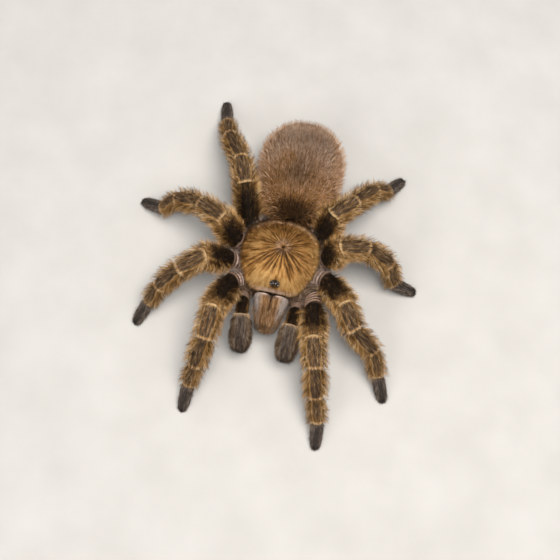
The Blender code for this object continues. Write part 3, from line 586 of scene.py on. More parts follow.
def make_carapace():
    angles = ring_angles(CARAPACE_SIDES, math.pi / 2)
    edges = np.array([carapace_edge(angle) for angle in angles])
    outs = np.concatenate([np.linspace(0.02, 0.92, 46), (0.935, 0.95, 0.965, 0.98, 0.99, 1.0)])
    reach = outs[:, None] * (edges[None, :] - CARAPACE_FRINGE)
    x, y = FOVEA_X + np.cos(angles) * reach, FOVEA_Y + np.sin(angles) * reach
    rays, crests = carapace_rays(angles, reach)
    ahead = FOVEA_Y - y
    aside = np.abs(x - FOVEA_X * step(y, -6, 3))
    throat = bell(aside, 1.0 + 0.4 * ahead, 0.5) * step(ahead, 1.5, 4) * (1 - step(ahead, 9.5, 12.5))
    out = np.broadcast_to(outs[:, None], reach.shape)
    z = carapace_height(x, y, out) - CARAPACE_PILE - RAY_DEPTH * rays - 0.3 * throat
    top = np.stack([x, y, z], axis=2)
    under = []
    for inward, drop in ((0.985, 0.5), (0.96, 1.0), (0.85, 1.0), (0.5, 1.0), (0.1, 1.0)):
        ring = top[-1].copy()
        ring[:, 0] = FOVEA_X + (ring[:, 0] - FOVEA_X) * inward
        ring[:, 1] = FOVEA_Y + (ring[:, 1] - FOVEA_Y) * inward
        ring[:, 2] = blend(ring[:, 2], CARAPACE_UNDERSIDE + 0.15, drop)
        under.append(ring)
    rings = np.concatenate([top, np.stack(under)])
    below = len(under)

    def whole(values, beneath):
        return np.concatenate([values, np.full((below, CARAPACE_SIDES), beneath)])

    front = step(-y, 8.2, 10.4) * bell(x, 0, 7.0)
    brow = front * step(out, 0.90, 0.925)
    rear = step(y, 5.5, 9.5)
    edge = step(out, 0.86, 0.98) * (1 - front) * (0.4 + 0.6 * step(y, -8, 0))
    lip = rear * step(out, 0.82, 0.92)
    star = step(reach, 0.45, 0.9) * (1 - step(reach, 1.5, 2.8)) * (1 - rays)
    patch = bell(x, -3.6, 2.8) * bell(y, -8.0, 2.1) + 0.7 * bell(x, 4.0, 2.2) * bell(y, -8.3, 1.7)
    gold = 0.64 + 0.1 * bell(y, -7.8, 2.8) + 0.95 * patch - 0.14 * step(y, 4.5, 9.5)
    gold = gold - 0.08 * bell(x, 6.5, 4.0) * bell(y, 6.0, 4.0) + 0.08 * bell(x, -7.0, 4.0) * bell(y, 2.0, 5.0)
    gold = gold + 0.17 * crests + 0.13 * step(x, 3.0, 9.0) + 0.2 * star - 0.8 * bell(reach, 0, 0.4)
    gold = gold + carapace_blotches(x, y) - 0.52 * rays - 0.14 * throat + 0.18 * edge + 0.08 * lip
    gold = gold - 0.4 * bell(x, MOUND_X, 0.3) * bell(y, MOUND_Y + 2.4, 1.0)
    length = 1.1 - 0.4 * bell(reach, 0, 1.6) + 0.6 * edge - 0.4 * front * step(out, 0.82, 0.89) + 0.5 * lip
    marks = {
        "mark": whole(np.clip(gold, 0, 1) + 0.05 * brow, 0.2),
        "flesh": whole(np.clip(0.8 * brow + 0.4 * lip + 0.35 * star, 0, 1), 0.3),
        "slate": whole(0.3 * star + 0.3 * rays, 0.0),
        "down": whole(METRE * length, 0),
        "down_rise": whole(0.2 + 0.1 * edge + 0.08 * lip, 0.2),
        "down_thick": whole((1 - 0.6 * rays) * (1 - 0.8 * brow) * (1 + 0.9 * edge), 0),
    }
    steps = np.arange(len(rings))[:, None] / (len(rings) - 1)
    chart = np.stack([np.cos(angles) * steps, np.sin(angles) * steps], axis=2)
    skin = closed_skin("carapace_skin", rings, marks, CARAPACE_FLOW, 0.5 + 0.48 * chart)
    dress(skin, skin_finish("golden_cuticle", GOLDEN, 0.6, 0.6), "golden_carapace", "carapace")
    pile = hair_finish("golden_pile", GOLDEN, spread=0.48, root=0.5, tip=1.2)
    down = (CARAPACE_HAIRS, CARAPACE_HAIR_WIDTH)
    grow_coat("carapace_pile", skin, pile, "golden_carapace", down, seed=3, lean=0.14)


make_carapace()

# Eyes
# Eight small glassy lenses in two rows of four, on a low dark mound at the front of the head. Each sits in a
# cup of the mound's cuticle, with a few short hairs standing between them.
MOUND_WIDTH = 2.9
MOUND_LENGTH = 2.2
MOUND_HEIGHT = 1.1
MOUND_GAP = 0.3
MOUND_SIDES = 72
MOUND_FLOW = 1.5
MOUND_EYE_RIM = 0.07
MOUND_HAIRS = (420, 0.06)
# Of each pair of eyes: how far they lie aside and behind the mound's middle, and their radius.
EYES = {
    "anterior_median": (0.4, -0.3, 0.3),
    "anterior_lateral": (1.06, -0.52, 0.29),
    "posterior_median": (0.8, 0.36, 0.22),
    "posterior_lateral": (1.27, 0.13, 0.25),
}
EYE_BULGE = 1.06
LENS_SIDES = 28
LENS_RINGS = 18
SIDES = (("left", 1), ("right", -1))
DARK_CUTICLE = (
    (0.0, 0.008, 0.005, 0.004),
    (0.5, 0.05, 0.028, 0.014),
    (0.8, 0.30, 0.17, 0.06),
    (1.0, 0.62, 0.42, 0.2),
)


def carapace_top(x, y):
    """The height of the solid shield at this place."""
    angle = math.atan2(y - FOVEA_Y, x - FOVEA_X)
    return float(carapace_height(x, y, math.hypot(x - FOVEA_X, y - FOVEA_Y) / carapace_edge(angle)))


def eye_place(aside, behind):
    """The middle of an eye on the mound."""
    out = math.hypot(aside / (MOUND_WIDTH / 2), behind / (MOUND_LENGTH / 2))
    foot = carapace_top(MOUND_X, MOUND_Y) + MOUND_GAP
    return np.array((MOUND_X + aside, MOUND_Y + behind, foot + MOUND_HEIGHT * max(1 - out**2.6, 0.12) ** 0.6))


def make_mound():
    """The mound, its foot sunk into the shield's skin, raised to a rim round each eye."""
    angles = ring_angles(MOUND_SIDES, 0.0)
    foot = carapace_top(MOUND_X, MOUND_Y) + MOUND_GAP
    rings = []
    profile = [(-0.9, 1.1), (-0.35, 1.04), (0.0, 0.98)]
    profile += [(math.sin(a), math.cos(a) ** 0.75) for a in np.linspace(0.12, 1.5, 22)]
    for rise, size in profile:
        x = MOUND_X + MOUND_WIDTH / 2 * size * np.cos(angles)
        y = MOUND_Y + MOUND_LENGTH / 2 * size * np.sin(angles)
        ground = np.array([carapace_top(a, b) for a, b in zip(x, y)])
        z = blend(ground, foot + MOUND_HEIGHT * 0.96, rise) if rise > 0 else ground + rise * 0.8
        rings.append(np.stack([x, y, z], axis=1))
    rings = np.stack(rings)
    rims = np.zeros(rings.shape[:2])
    for aside, behind, radius in EYES.values():
        for sign in (1, -1):
            middle = eye_place(sign * aside, behind)
            away = np.linalg.norm(rings - middle, axis=2)
            rims = np.maximum(rims, bell(away, radius * 1.18, 0.1))
    rings[..., 2] += MOUND_EYE_RIM * rims
    marks = {
        "mark": 0.5 - 0.45 * rims - 0.25 * step(rings[..., 2], foot + 0.2, foot + 0.8),
        "down": METRE * (0.75 - 0.25 * step(rings[..., 2], foot, foot + 0.6)),
        "down_rise": 0.7,
        "down_thick": 1.0 - 0.85 * rims,
    }
    skin = closed_skin("eye_mound_skin", rings, marks, MOUND_FLOW)
    dress(skin, skin_finish("dark_cuticle", DARK_CUTICLE, 0.9, 0.4), "golden_carapace", "eye_mound")
    hair = hair_finish("mound_hair", GOLDEN)
    grow_coat("eye_mound_hairs", skin, hair, "golden_carapace", MOUND_HAIRS, seed=5)


def eye_finish():
    """A black lens under a clear, very smooth surface, a little brown where light reaches into it."""
    gloss = {"Roughness": 0.08, "Specular IOR Level": 1.0}
    clear = {"Coat Weight": 1.0, "Coat IOR": 2.0, "Coat Roughness": 0.04}
    made, tree, shader = new_finish("eye_lens", {**gloss, **clear})
    stops = ((0.35, 0.004, 0.003, 0.003), (0.75, 0.03, 0.016, 0.010))
    tree.links.new(colour_ramp(tree, body_noise(tree, 1500), stops), shader.inputs["Base Color"])
    return made


def ball(name, middle, radius):
    """A smooth ball round this place, in rings of points between its poles."""
    angles = ring_angles(LENS_SIDES, 0.0)
    points = [(0.0, 0.0, 1.0)]
    for turn in math.pi * np.arange(1, LENS_RINGS) / LENS_RINGS:
        out, height = math.sin(turn), math.cos(turn)
        points += [(out * math.cos(angle), out * math.sin(angle), height) for angle in angles]
    points.append((0.0, 0.0, -1.0))
    last = len(points) - 1
    starts = range(1, last, LENS_SIDES)
    faces = []
    for j in range(LENS_SIDES):
        k = (j + 1) % LENS_SIDES
        faces.append((0, 1 + j, 1 + k))
        faces += [(high + j, low + j, low + k, high + k) for high, low in zip(starts, starts[1:])]
        faces.append((last, starts[-1] + k, starts[-1] + j))
    mesh = bpy.data.meshes.new(name)
    mesh.from_pydata(((middle + BODY_PLACE + np.array(points) * radius) * METRE).tolist(), [], faces)
    mesh.shade_smooth()
    return link(name, mesh)


def make_eyes():
    lens = eye_finish()
    for name, (aside, behind, radius) in EYES.items():
        for side, sign in SIDES:
            eye = ball(f"eye_{name}_{side}_lens", eye_place(sign * aside, behind), radius * EYE_BULGE)
            dress(eye, lens, "eye_glass", f"eye_{name}_{side}")


make_mound()
make_eyes()

# Jaws
# The two chelicerae: stout boxes of grey cuticle side by side under the brow, bare and shiny at their base,
# with streaks of golden hair that run forwards and close in a fringe over the fangs.
JAW_WIDTH = 5.7
JAW_ASIDE = 0.3
JAW_FRONT = -21.6
JAW_REAR = CARAPACE_FRONT - 0.3
JAW_TOP = 14.9
JAW_BOTTOM = 6.4
JAW_COAT = 0.28
JAW_SIDES = 44
JAW_TAPER = 0.46
JAW_HAIRS = 9500
JAW_HAIR_WIDTH = 0.085
JAW_BRISTLES = (420, 0.08)
JAW_FLOW = 2.6
JAW_COLOURS = (
    (0.0, 0.020, 0.012, 0.008),
    (0.3, 0.085, 0.050, 0.030),
    (0.55, 0.28, 0.14, 0.06),
    (0.75, 0.50, 0.27, 0.115),
    (1.0, 0.72, 0.50, 0.32),
)


def boxy(values, power):
    """A sine or cosine drawn out, so that a round section with it comes nearer to a box."""
    return np.abs(values) ** power * np.sign(values)


def jaw_ring(sign, share, sides=JAW_SIDES, inset=0.0):
    """One cross-section of a jaw's basal segment: full and rounded, narrowing to its tip."""
    y = blend(JAW_REAR, JAW_FRONT, share)
    half = JAW_WIDTH / 2 * (1 - JAW_TAPER * share**2)
    top = blend(JAW_TOP + 0.3 * math.sin(math.pi * share), JAW_TOP - 3.6, share**2.2)
    bottom = blend(JAW_BOTTOM + 1.2, JAW_BOTTOM, share**0.5)
    if share > 0.9:
        half *= blend(1.0, 0.72, (share - 0.9) / 0.1)
        top -= 1.3 * (share - 0.9) / 0.1
        bottom += 1.3 * (share - 0.9) / 0.1
    angle = ring_angles(sides)
    flat, tall = boxy(np.cos(angle), 0.85), boxy(np.sin(angle), 0.85)
    drawn_in = sign * 0.6 * inset * (1 - step(share, 0.6, 0.95))
    x = sign * 0.15 + sign * half + JAW_ASIDE + flat * (half - inset) - drawn_in
    z = (top + bottom) / 2 + tall * ((top - bottom) / 2 - inset)
    return np.stack([x, np.full(sides, y), z], axis=1)


def make_jaws():
    cuticle = skin_finish("jaw_cuticle", JAW_COLOURS, 0.8, 0.62, 0.6)
    hair = hair_finish("jaw_hair", JAW_COLOURS, spread=0.34, root=0.55)
    ends = (0.0, 0.012, 0.03, 0.05), (0.93, 0.96, 0.98, 0.99, 1.0)
    shares = np.concatenate([ends[0], np.linspace(0.08, 0.9, 24), ends[1]])
    rounded = {0.0: 1.5, 0.012: 0.7, 0.03: 0.25, 0.99: 0.25, 1.0: 0.5}
    insets = [JAW_COAT + 0.25 * step(s, 0.35, 1.0) + rounded.get(float(s), 0.0) for s in shares]
    along = shares[:, None]
    angle = ring_angles(JAW_SIDES)[None, :]
    for side, sign in SIDES:
        rings = np.stack([jaw_ring(sign, share, JAW_SIDES, inset) for share, inset in zip(shares, insets)])
        outwards = sign * np.cos(angle)
        outer = step(outwards, -0.2, 0.45)
        inner = step(-outwards, -0.1, 0.5)
        upper = step(np.sin(angle), -0.2, 0.5)
        bare = upper * (1 - step(along, 0.05, 0.13))
        # A painted highlight: a pale glint on top of each jaw's base, where the bare cuticle is also made
        # glossier.
        painted_glint = bare * bell(outwards, -0.2, 0.35) * bell(along, 0.045, 0.03)
        tip = step(along, 0.5, 0.9)
        tone = 0.62 + 0.04 * inner + 0.27 * outer + 0.12 * tip
        marks = {
            "mark": tone - 0.35 * (1 - upper) - 0.2 * bare + 0.6 * painted_glint,
            "slate": np.clip(1.15 * outer - 0.6 * tip + 0.7 * bare, 0, 1),
            "flesh": np.clip(0.1 * outer * (1 - tip) + 0.2 * bare + 0.8 * painted_glint, 0, 1),
            "down": METRE * (0.9 + 1.3 * tip + 0.6 * inner) * (1 - 0.5 * bare),
            "down_rise": 0.2 + 0.2 * step(along, 0.75, 1.0),
            "down_thick": (1 - bare) * (0.4 + 0.6 * upper + 0.8 * tip) * (1 - 0.65 * outer * (1 - tip)),
            "bristle": METRE * 2.2,
            "bristle_rise": 0.35,
            "bristle_thick": step(along, 0.3, 0.9) * (0.4 + 0.6 * upper) * (1 - 0.5 * outer),
            "bristle_mark": 0.66 + 0.1 * inner,
            "bristle_slate": 0.3 * outer * (1 - tip),
        }
        name = f"chelicera_{side}"
        skin = closed_skin(f"{name}_skin", rings, marks, JAW_FLOW)
        dress(skin, cuticle, "grey_jaw", name)
        down = (JAW_HAIRS, JAW_HAIR_WIDTH)
        settings = {"seed": 40 + sign, "lean": 0.12, "streak": 1.1}
        grow_coat(f"{name}_hair", skin, hair, "grey_jaw", down, JAW_BRISTLES, **settings)


make_jaws()

# Fangs
# Each jaw ends in a hollow, polished claw of black cuticle, folded down and back under it, reddish where it
# leaves its hinge.
FANG_LENGTH = 7.2
FANG_RADIUS = 0.8
FANG_AT = 0.84
FANG_PITCHES = (-84, -2)
FANG_STEPS = 40
FANG_SIDES = 20


def fang_finish():
    """Polished black cuticle, reddish where its mark is high."""
    made, tree, shader = new_finish("fang_black", {"Roughness": 0.16, "Coat Weight": 0.5})
    tone = maths(tree, "ADD", named(tree, "mark"), around_zero(tree, body_noise(tree, 900), 0.3))
    stops = ((0.1, 0.006, 0.005, 0.005), (0.7, 0.035, 0.010, 0.006), (1.0, 0.14, 0.035, 0.018))
    tree.links.new(colour_ramp(tree, tone, stops), shader.inputs["Base Color"])
    return made


def unit(vector):
    return vector / np.linalg.norm(vector)


def oval(angles, across, over):
    """The points of an oval with these two half axes."""
    return np.outer(np.cos(angles), across) + np.outer(np.sin(angles), over)


def spike(name, root, forward, pitches, length, radius):
    """A curved, tapering claw that points forward, its pitch going from one to the other, in degrees."""
    place, rings = np.array(root, dtype=float), []
    forward = np.array(forward, dtype=float)
    for share in np.arange(FANG_STEPS + 1) / FANG_STEPS:
        slope = math.radians(blend(*pitches, min(share * 1.5, 1)))
        ahead = unit(forward * math.cos(slope) + np.array((0, 0, math.sin(slope))))
        across = unit(np.cross(ahead, np.cross(forward, (0, 0, 1.0))))
        size = radius * ((1 - share**1.3) + 0.02)
        rings.append(place + size * oval(ring_angles(FANG_SIDES, 0.0), across, np.cross(across, ahead)))
        place = place + ahead * (length / FANG_STEPS)
    share = np.linspace(0, 1, len(rings))[:, None]
    return closed_skin(name, np.stack(rings), {"mark": 1 - 1.2 * share})


FANG_BLACK = fang_finish()


def make_fangs():
    for side, sign in SIDES:
        hinge = jaw_ring(sign, FANG_AT, 12)
        root = (hinge[:, 0].mean(), hinge[0, 1], hinge[:, 2].min() - 0.15)
        inwards = (-sign * 0.12, 1.0, 0.0)
        fang = spike(f"fang_{side}_claw", root, inwards, FANG_PITCHES, FANG_LENGTH, FANG_RADIUS)
        dress(fang, FANG_BLACK, "black_fang", f"fang_{side}")


make_fangs()

# Legs
# Eight legs, each one skin from the coxa at the body to the foot: coxa, trochanter, femur, patella, tibia,
# metatarsus and tarsus. Every joint is a fold of pale bare membrane between the hard rims of two lengths, its
# colour darkened as painted shade in the fold.
LEG_LENGTHS = {
    1: (17.2, 9.8, 9.8, 9.2, 8.3),
    2: (14.4, 8.9, 10.0, 9.3, 8.1),
    3: (11.9, 8.9, 10.3, 8.8, 8.4),
    4: (13.1, 9.8, 12.0, 9.9, 9.0),
}
HIPS = {1: (12.8, -8.9), 2: (15.1, -2.5), 3: (14.3, 3.5), 4: (11.9, 10.5)}
# A coxa starts this far aside, at this share of its hip's way along the body and this far below the hip.
LEG_HEART = (3.0, 0.62, 1.9)
JOINT_HEIGHTS = (9.5, 19.5, 17.3, 11.5, 4.7, 1.45)
LIFT_SHARES = (0, 1, 0.9, 0.6, 0.15, 0)
# Of each leg: the lift of its knee, its size against its pair's length, and each length's heading in degrees.
LEG_POSES = {
    ("left", 1): (-1.6, 0.98, (-79, -75, -75, -72, -82)),
    ("left", 2): (-1.8, 0.98, (-49, -58, -29, -62, -64)),
    ("left", 3): (0.5, 0.96, (23, 15, -12, -54, -1)),
    ("left", 4): (1.4, 0.94, (65, 49, 55, 39, 58)),
    ("right", 1): (1.7, 1.01, (-102, -94, -102, -106, -95)),
    ("right", 2): (2.0, 1.0, (-148, -143, -139, -132, -116)),
    ("right", 3): (0.5, 1.03, (149, 153, 167, 197, 163)),
    ("right", 4): (-0.2, 1.05, (109.5, 113, 123, 111, 106)),
}
# Half the width of each solid length at its start and end, and how much taller than wide it is.
COXA = (2.7, 2.75, 1.0)
FEMUR = (3.1, 2.9, 1.12)
PATELLA = (2.9, 2.8, 1.0)
TIBIA = (2.75, 2.5, 1.0)
METATARSUS = (2.35, 2.1, 0.95)
TARSUS = (2.15, 1.75, 0.85)
FOOT_SINK = 1.0
LIMB_COAT = 0.35
LIMB_SIDES = 40
# Over this share of a length the rings lean into a joint's plane, and no skin comes nearer to the floor.
MITRE_REACH = 0.42
SKIN_CLEAR = 0.12
# A hip may rise to these heights, below the shield and beside it.
UNDER_SHIELD = CARAPACE_UNDERSIDE - 0.4
BESIDE_SHIELD = 14.0
# The width at each share of a length between its two hard rims, then of one whose start is ringed.
SHAFT = (
    (0.045, 1.0), (0.07, 0.99), (0.11, 0.97), (0.16, 0.98), (0.24, 1.0), (0.33, 1.03), (0.43, 1.04),
    (0.53, 1.04), (0.63, 1.03), (0.73, 1.02), (0.82, 1.0), (0.88, 0.98), (0.92, 0.975), (0.94, 0.985),
    (0.96, 0.99),
)
RIDGE = 0.062
RINGED_TO = 0.3
RINGED_SHARES = np.arange(0.045, RINGED_TO, RIDGE / 6)
RINGED_SHAFT = (
    *[(share, 0.97 + 0.045 * math.cos(2 * math.pi * share / RIDGE)) for share in RINGED_SHARES],
    *[spot for spot in SHAFT if spot[0] > RINGED_TO],
)


def jointed(start_neck, end_neck, shaft=SHAFT):
    """The widths of a whole length, drawn in to the membrane at each end."""
    start = [(0.0, start_neck), (0.01, start_neck + 0.01), (0.02, blend(start_neck, 1, 0.5)), (0.03, 0.97)]
    end = [(0.972, 0.97), (0.98, blend(end_neck, 1, 0.5)), (0.99, end_neck + 0.01), (1.0, end_neck)]
    return (*start, *shaft, *end)


HIP_PROFILE = (
    (0.0, 0.6), (0.3, 0.9), (0.55, 0.96), (0.64, 0.97), (0.68, 0.96), (0.70, 1.0), (0.72, 1.01),
    (0.733, 0.96), (0.74, 0.86), (0.76, 0.8), (0.775, 0.86), (0.785, 0.97), (0.8, 1.01), (0.82, 1.0),
    (0.835, 0.95), (0.86, 0.94), (0.885, 0.96), (0.9, 1.0), (0.92, 1.0), (0.935, 0.96), (0.945, 0.82),
    (0.965, 0.76), (1.0, 0.76),
)
FOOT_PROFILE = (
    (0.0, 0.72), (0.02, 0.74), (0.045, 0.88), (0.07, 0.98), (0.12, 1.0), (0.2, 1.03), (0.3, 1.05),
    (0.4, 1.07), (0.5, 1.07), (0.6, 1.06), (0.7, 1.03), (0.8, 0.98), (0.87, 0.9), (0.93, 0.78),
    (0.97, 0.62), (1.0, 0.42),
)
UP = np.array((0.0, 0.0, 1.0))


class Segment:
    """One length of a limb between two joints, with the planes where it meets its neighbours."""

    def __init__(self, start, end, shape, profile):
        self.start, self.end = start, end
        self.wide_start, self.wide_end, self.tallness = shape
        self.profile = profile
        self.along = unit(end - start)
        self.side = unit(np.cross(self.along, UP))
        self.dorsal = np.cross(self.side, self.along)
        self.start_plane = self.end_plane = self.along

    def ring(self, share, size, angles, coat):
        """The ring of points at this share of the length; near a joint it leans into the joint's plane."""
        wide = (blend(self.wide_start, self.wide_end, share) - coat) * size
        offset = oval(angles, self.side * wide, self.dorsal * wide * self.tallness)
        moved = np.zeros(len(angles))
        for plane, away in ((self.start_plane, share), (self.end_plane, 1 - share)):
            weight = 1 - away / MITRE_REACH
            if weight > 0:
                moved -= weight * (offset @ plane) / (self.along @ plane)
        return blend(self.start, self.end, share) + offset + np.outer(moved, self.along)


def limb_joints(start, heights, lengths, headings):
    """The joints of a limb: each length is real, with its heading and the heights of its two ends."""
    joints = [np.array((start[0], start[1], heights[0]))]
    for low, high, length, heading in zip(heights, heights[1:], lengths, headings):
        flat = math.sqrt(length**2 - (high - low) ** 2)
        turn = math.radians(heading)
        joints.append(joints[-1] + np.array((math.cos(turn) * flat, math.sin(turn) * flat, high - low)))
    return joints


def mitre(segments):
    """Neighbours meet in the plane that halves the bend between them."""
    for first, second in zip(segments, segments[1:]):
        first.end_plane = second.start_plane = unit(first.along + second.along)


def limb_rings(segments, sink):
    """All rings of a limb from the body to the foot, and for each its length's number and its share of it."""
    angles = ring_angles(LIMB_SIDES)
    rings, numbers, shares = [], [], []
    for number, segment in enumerate(segments):
        for share, size in segment.profile:
            ring = segment.ring(share, size, angles, LIMB_COAT)
            if number == 0:
                ceiling = blend(UNDER_SHIELD, BESIDE_SHIELD, step(share, 0.6, 0.8))
                ring[:, 2] = np.minimum(ring[:, 2], ceiling)
            if number == len(segments) - 1:
                ring[:, 2] = ring[:, 2] - sink * share
            ring[:, 2] = np.maximum(ring[:, 2], SKIN_CLEAR)
            if share == 0.0 and number > 0:
                rings[-1] = (rings[-1] + ring) / 2
                continue
            rings.append(ring)
            numbers.append(number)
            shares.append(share)
    return np.stack(rings), np.array(numbers), np.array(shares)


def limb_marks(numbers, shares, kinds):
    """The markings and the coat of a limb; kinds names each of its lengths, from the body outwards."""
    angles = ring_angles(LIMB_SIDES)[None, :]
    height, aside = np.sin(angles), np.abs(np.cos(angles))
    names = "mark slate flesh down down_rise down_thick".split()
    names += "bristle bristle_rise bristle_thick bristle_mark bristle_slate".split()
    marks = {name: np.zeros((len(numbers), LIMB_SIDES)) for name in names}
    for number, kind in enumerate(kinds):
        rows = numbers == number
        share = shares[rows][:, None]
        # Where each point lies, along its length and round it, and the bands near the two ends.
        ground = {
            "share": share,
            "height": height,
            "aside": np.where(height > 0, aside, 1.0),
            "top": step(height, 0.35, 0.8),
            "flank": step(aside, 0.45, 0.95),
            "below": step(-height, 0.1, 0.6),
            "upper": step(height, -0.5, 0.0),
            "fold": 1 - step(share, 0.015, 0.03) * (1 - step(share, 0.97, 0.985)),
            "rim": step(share, 0.895, 0.92) * (1 - step(share, 0.965, 0.975)),
            "knee": step(share, 0.015, 0.035) * (1 - step(share, 0.06, 0.1)),
        }
        marks_of, settings = LIMB_KINDS[kind]
        for name, value in marks_of(**ground, **settings).items():
            marks[name][rows] = value
    return marks


def hip_marks(share, height, below, shown=1.0, **_):
    """Coxa and trochanter: pinkish-grey cuticle with pale rims, brightened further as painted highlights, and
    folds darkened as painted shade, brown hair beneath.
    """
    # The rims are pale cuticle lit further by painted highlights; the folds between and after them are
    # painted shade.
    outer_rims = np.maximum(bell(share, 0.802, 0.014), bell(share, 0.91, 0.014))
    rims = np.maximum(bell(share, 0.712, 0.013), outer_rims)
    folds = np.maximum(bell(share, 0.757, 0.02), step(share, 0.94, 0.955))
    bare = step(share, 0.55, 0.66) * step(height, -0.3, 0.2)
    hidden = 1 - shown
    thick = 0.8 * (1 - bare) + 0.35 * bare * (1 - rims) * (1 - folds)
    return {
        # A dark hip is painted darker all over, as painted shade from the shield's edge.
        "mark": 0.46 + (0.9 * rims * shown - 0.35 * folds) * bare - 0.24 * hidden,
        "flesh": 0.95 * bare * (1 - 0.6 * folds) * shown,
        "slate": 0.1 * bare,
        "down": METRE * (1.3 - 0.6 * bare + 0.9 * hidden),
        "down_rise": 0.4,
        "down_thick": thick + 0.5 * hidden,
        "bristle": METRE * (2.6 + 1.0 * hidden),
        "bristle_rise": 0.7,
        "bristle_thick": 0.4 * below + 0.6 * bare * (1 - rims) + 0.3 * hidden,
        "bristle_mark": 0.62,
        "bristle_slate": 0.7,
    }


def femur_marks(share, top, flank, below, upper, fold, bare=0.08, ridge=0.038, gold=1.0, wash=1.0, **_):
    """Femur: ringed and bare where it starts, then almost black above, with long golden bristles beside."""
    outer = step(share, 0.67, 0.97) * gold * wash
    # The pale rings of the bare base are partly pale cuticle and partly painted highlight, brightest on each
    # ring's crest and only on top.
    rings = 0.2 + 0.8 * np.cos(math.pi * share / ridge) ** 2
    rim = (1 - step(share, bare - 0.01, bare + 0.01)) * rings * upper
    side = flank * (1 - 0.3 * below) * step(share, 0.15, 0.45)
    tone = 0.02 + 0.34 * side + 0.52 * outer + 0.22 * below + 0.7 * rim
    haired = (1 - fold) * step(share, bare, bare + 0.2) * gold
    return {
        # Painted shade darkens the fold at each joint.
        "mark": np.clip(tone - 0.25 * fold * (1 - outer), 0, 1),
        "flesh": 0.85 * rim,
        "slate": 0.1 * rim,
        "down": METRE * (1.4 - 0.5 * fold - 0.6 * rim),
        "down_rise": 0.36 - 0.12 * top,
        "down_thick": (1.0 - 0.3 * fold) * (1 - 0.3 * below) * (1 - 0.9 * rim),
        "bristle": METRE * (3.4 - 1.2 * top),
        "bristle_rise": 0.84,
        "bristle_thick": (0.2 * top + flank + 0.5 * below + 0.5 * outer) * haired,
        "bristle_mark": 0.62 + 0.1 * outer - 0.5 * top * (1 - outer),
    }


def shin_marks(share, aside, top, flank, below, upper, fold, rim, knee, wide=0.76, long=3.0, dark=0.17, **_):
    """Patella, tibia and metatarsus: grey-brown above inside a loop of gold, golden sides and pale ends."""
    loop = wide * (0.72 + 0.28 * np.sin(math.pi * np.clip(0.12 + 0.85 * share, 0, 1)))
    stripes = bell(aside, loop, 0.09) * step(share, 0.05, 0.15)
    lines = bell(aside, 0.34 * loop, 0.08) * step(share, 0.1, 0.25) * (1 - step(share, 0.75, 0.88))
    middle = (1 - step(aside, loop - 0.12, loop)) * (1 - stripes)
    near = step(share, 0.74, 0.88) * upper
    outside = step(aside, loop - 0.05, loop + 0.2)
    tone = 0.53 - dark * middle + 0.3 * stripes + 0.2 * lines
    return {
        # Painted shade darkens the fold at each end.
        "mark": np.clip(tone + 0.38 * rim * upper - 0.2 * fold, 0, 1),
        "flesh": 0.12 * rim,
        "slate": 0.45 * middle * (1 - rim) * (1 - knee) * (1 - 0.7 * lines),
        "down": METRE * (1.35 - 0.6 * near - 0.4 * fold),
        "down_rise": 0.26 + 0.08 * flank,
        "down_thick": (1.0 + 1.8 * rim * upper - 0.3 * fold) * (1 - 0.35 * below),
        "bristle": METRE * (long - 0.9 * top),
        "bristle_rise": 0.82 + 0.1 * top,
        "bristle_thick": (0.3 * middle + outside + 0.3 * stripes) * (1 - fold) * (1 - 0.8 * near),
        "bristle_mark": 0.62 + 0.14 * stripes - 0.06 * middle,
        "bristle_slate": 0.3 * middle,
    }


def patella_marks(**ground):
    """The patella also has a pale band of short hair where it meets the femur."""
    values = shin_marks(**ground, wide=0.84, dark=0.11)
    band = ground["knee"] * ground["upper"]
    values["mark"] = np.clip(values["mark"] + 0.6 * band, 0, 1)
    values["slate"] = values["slate"] * (1 - band)
    values["down"] = values["down"] - 0.7 * METRE * band
    values["down_thick"] = values["down_thick"] + 2.2 * band
    return values


def ankle_marks(**ground):
    """The metatarsus is browner, with a golden cuff before the foot."""
    values = shin_marks(**ground, wide=0.7, dark=0.09, long=2.7)
    cuff = step(ground["share"], 0.55, 0.95) * ground["upper"]
    values["mark"] = np.clip(values["mark"] + 0.12 * cuff, 0, 1)
    values["slate"] = values["slate"] * (1 - cuff)
    return values


def tarsus_marks(share, aside, flank, below, fold, **_):
    """Tarsus: slate-grey velvet, brush-thick at the sides and sole, with a dark line along its back."""
    line = bell(aside, 0.16, 0.12) * step(share, 0.05, 0.15)
    tip = step(share, 0.8, 1.0)
    return {
        # Painted shade darkens the fold where the tarsus starts.
        "mark": np.clip(0.45 + 0.2 * flank - 0.45 * line - 0.3 * tip - 0.3 * fold * (share < 0.5), 0, 1),
        "flesh": 0.0,
        "slate": 0.95,
        "down": METRE * (0.85 + 0.25 * flank - 0.3 * line),
        "down_rise": 0.32 + 0.2 * below,
        "down_thick": 1.5 * (1 - 0.7 * line) + 0.6 * flank,
        "bristle": METRE * 1.5,
        "bristle_rise": 0.55,
        "bristle_thick": 0.35 * flank,
        "bristle_mark": 0.5 - 0.2 * tip,
        "bristle_slate": 0.9,
    }


